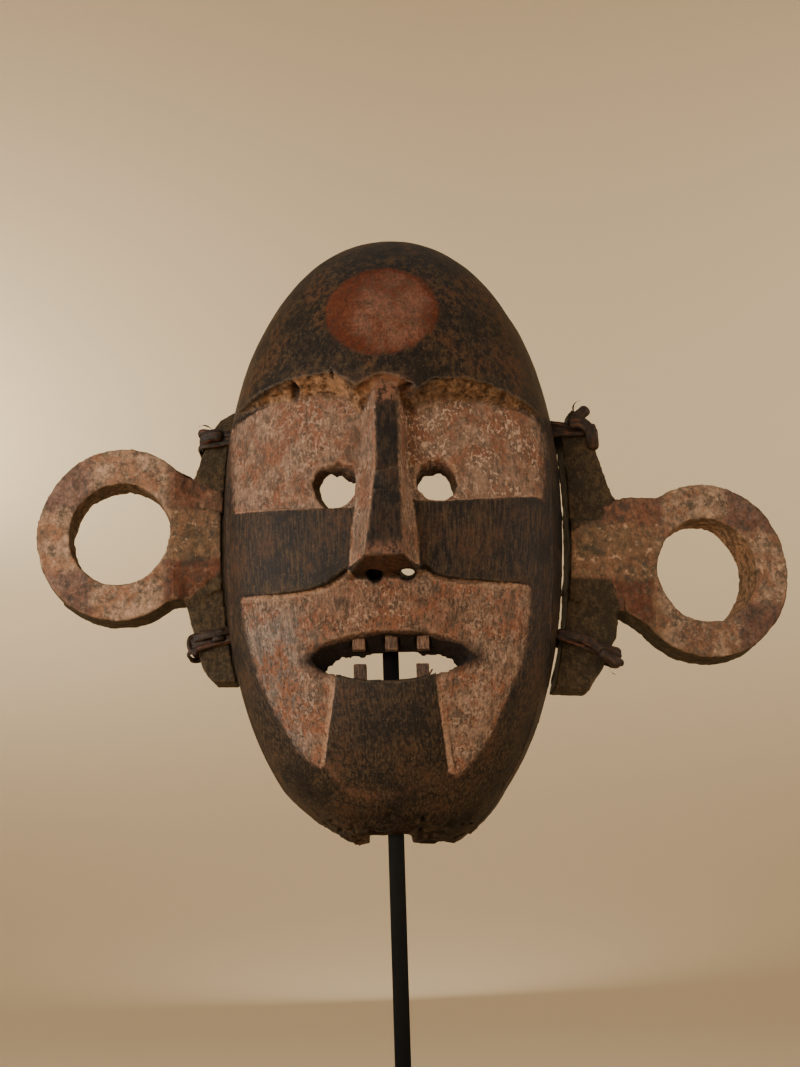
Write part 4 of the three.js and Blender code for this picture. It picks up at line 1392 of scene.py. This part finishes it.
def make_ear_finish():
    material, bench, shader = new_material("ear finish")
    place = bench.read("place", vector=True)
    board = bench.read("board", vector=True)
    # The inner wall of the hole takes lighter bare wood, partly painted light.
    inside = bench.read("inner_wall")
    dark, brown, warm = (bench.mixed(inside, bar, ring) for bar, ring in zip(
        colours("2a2216 4d3e29 493520"), colours("3a2c20 7a5d45 6a4c36")))
    wood = bench.use(old_wood, Place=place, Dark=dark, Brown=brown, Warm=warm, Streaky=0.3,
                     Speck=colour("5f5039"))
    # Painted light: the left ear's bare wood is lighter, and the right ring's inner wall twice as
    # light.
    bare_wood = bench.scaled(wood["Color"], bench.read("bar_light"))
    in_red = bench.use(ragged_border, Distance=bench.read("red"), Place=board, Ragged=3,
                       Soft=2.6, Size=8)["Mask"]
    on_neck = bench.read("neck")
    tones = [bench.mixed(in_red, bench.mixed(on_neck, ring, neck), bench.mixed(
                 on_neck, red_ring, bench.mixed(bench.read("upper"), lower, upper)))
             for ring, neck, red_ring, lower, upper in map(colours, EAR_TONES)]
    coat = bench.use(pigment, Place=board, Base=tones[0], Red=tones[1], Grey=tones[2],
                     Fleck=tones[3], Flecks=bench.blended(on_neck, 0.35, 0.05),
                     Strokes=bench.blended(on_neck, 0.12, 0.3))
    mottle = bench.remap(bench.noise(board, 4, 45, 5, 0.75), 0.36, 0.64, 0.74, 1.22)
    # Painted shade: the right ear's ring is darker, more so low down.
    toned = bench.scaled(coat["Color"], bench.times(mottle, bench.read("light")))
    bright = bench.remap(bench.noise(board, 6, 41, 5, 0.7), 0.57, 0.68, 0, 0.7)
    bright = bench.times(bright, bench.blended(in_red, 1, 0.3))
    paint = bench.mixed(bright, toned, colour("bf9a7a"))
    patches = bench.remap(bench.noise(board, (11, 11, 9), 31, 5, 0.72), 0.52, 0.62)
    chipped = bench.remap(bench.noise(board, 3.2, 35, 5, 0.75), 0.44, 0.54)
    scuffs = bench.times(patches, chipped)
    paint = bench.mixed(bench.times(scuffs, 0.7), paint, colour("3b372f"))
    on_paint = bench.use(ragged_border, Distance=bench.read("painted"), Place=board, Ragged=1.2,
                         Soft=0.8, Size=4)["Mask"]
    painted = bench.times(on_paint, bench.read("front"))
    shade = bench.mixed(painted, bare_wood, paint)
    edges = bench.use(wear_and_dust, Sharp=bench.read("sharp"), Place=place, From=0.08, To=0.4)
    worn = bench.times(edges["Worn"], bench.blended(painted, 0.1, 0.3))
    shade = bench.mixed(worn, shade, colour("8f6b4c"))
    shade = bench.mixed(bench.times(edges["Dust"], 0.5), shade, colour("2b2117"))
    # Painted shade where the bar faces the mask.
    shade = bench.mixed(bench.times(bench.read("sooty"), 0.85), shade, colour("0d0a07"))
    height = bench.blended(painted, wood["Height"], coat["Height"])
    feed_shader(bench, shader, shade, bench.blended(painted, 0.7, 0.8), 0.2, height, 0.3)
    return material


dress(make_ear_finish(), *ears)

# %% [markdown]
# The pegs are the same wood rubbed reddish by handling, with a dry end grain. The lower
# ones are darker.

# %% Finish of the pegs
def make_peg_finish():
    material, bench, shader = new_material("peg finish")
    place = bench.read("place", vector=True)
    lower = bench.read("lower")
    dark, brown, warm = (bench.mixed(lower, one, other) for one, other in zip(
        colours("3a281c 86634a 744a34"), colours("23170f 57402d 5a3522")))
    wood = bench.use(old_wood, Place=place, Grain=(0.5, 0.5, 6), Dark=dark, Brown=brown, Warm=warm)
    edges = bench.use(wear_and_dust, Sharp=bench.read("sharp"), Place=place, From=0.03, To=0.15)
    shade = bench.mixed(bench.times(edges["Worn"], 0.4), wood["Color"], colour("a07c5e"))
    roughness = bench.remap(wood["Height"], 0.3, 0.8, 0.85, 0.65)
    feed_shader(bench, shader, shade, roughness, 0.5, wood["Height"], 0.2)
    return material


dress(make_peg_finish(), *pegs)

# %% [markdown]
# Old cane has gone dark red-brown, with a slight shine on its skin and fibres that run
# the length of the strip. The stored fibre place makes the streaks follow every bend, and
# here and there a fibre is still orange.

# %% Finish of the cane
def make_cane_finish():
    material, bench, shader = new_material("cane finish")
    fibre = bench.read("fibre", vector=True)
    place = bench.read("place", vector=True)
    skin = bench.use(old_wood, Place=fibre, Grain=(12, 0.7, 0.8), Dark=colour("1a120b"),
                     Brown=colour("3f2c1c"), Warm=colour("4d2c1c"), Speck=colour("5c4430"))
    fresh = bench.remap(bench.noise(fibre, (14, 1, 1.2), 6, 2), 0.6, 0.7, 0, 0.7)
    shade = bench.mixed(fresh, skin["Color"], colour("7d4022"))
    grime = bench.remap(bench.noise(place, 3.3, 2, 4), 0.48, 0.66, 0, 0.7)
    shade = bench.mixed(grime, shade, colour("1a140f"))
    roughness = bench.remap(skin["Height"], 0.3, 0.8, 0.6, 0.45)
    feed_shader(bench, shader, shade, roughness, 0.3, skin["Height"], 0.3)
    return material


dress(make_cane_finish(), *lashings)

# %% [markdown]
# Matt black paint on steel is not one flat black: it has a fine orange-peel, rubbed
# patches that shine a little more, and a trace of dust.

# %% Finish of the stand
def make_steel_finish():
    material, bench, shader = new_material("black paint")
    place = bench.read("place", vector=True)
    peel = bench.noise(place, 0.7, 1, 2)
    patches = bench.noise(place, 16, 2, 4, 0.6)
    dust = bench.remap(bench.noise(place, 2, 3, 5, 0.7), 0.58, 0.75, 0, 0.16)
    shade = bench.mixed(patches, *colours("020202 060605"))
    shade = bench.mixed(dust, shade, colour("2a2722"))
    roughness = bench.remap(patches, 0.3, 0.7, 0.66, 0.5)
    feed_shader(bench, shader, shade, roughness, 0.16, peel, 0.05)
    return material


dress(make_steel_finish(), rod, foot)

# %% [markdown]
# The paper is a warm beige with a faint tooth, so that its light falls off softly.

# %% Finish of the paper
def make_paper():
    material, bench, shader = new_material("beige paper")
    place = bench.node("TexCoord").outputs["Object"]
    tooth = bench.noise(place, 0.006, 1, 2)
    shade = bench.mixed(bench.noise(place, 0.8, 2, 2), *colours("dbc39c dfc7a1"))
    feed_shader(bench, shader, shade, 0.95, 0.2, tooth, 0.3, 0.4)
    return material


dress(make_paper(), backdrop)
print("materials:", len(bpy.data.materials))
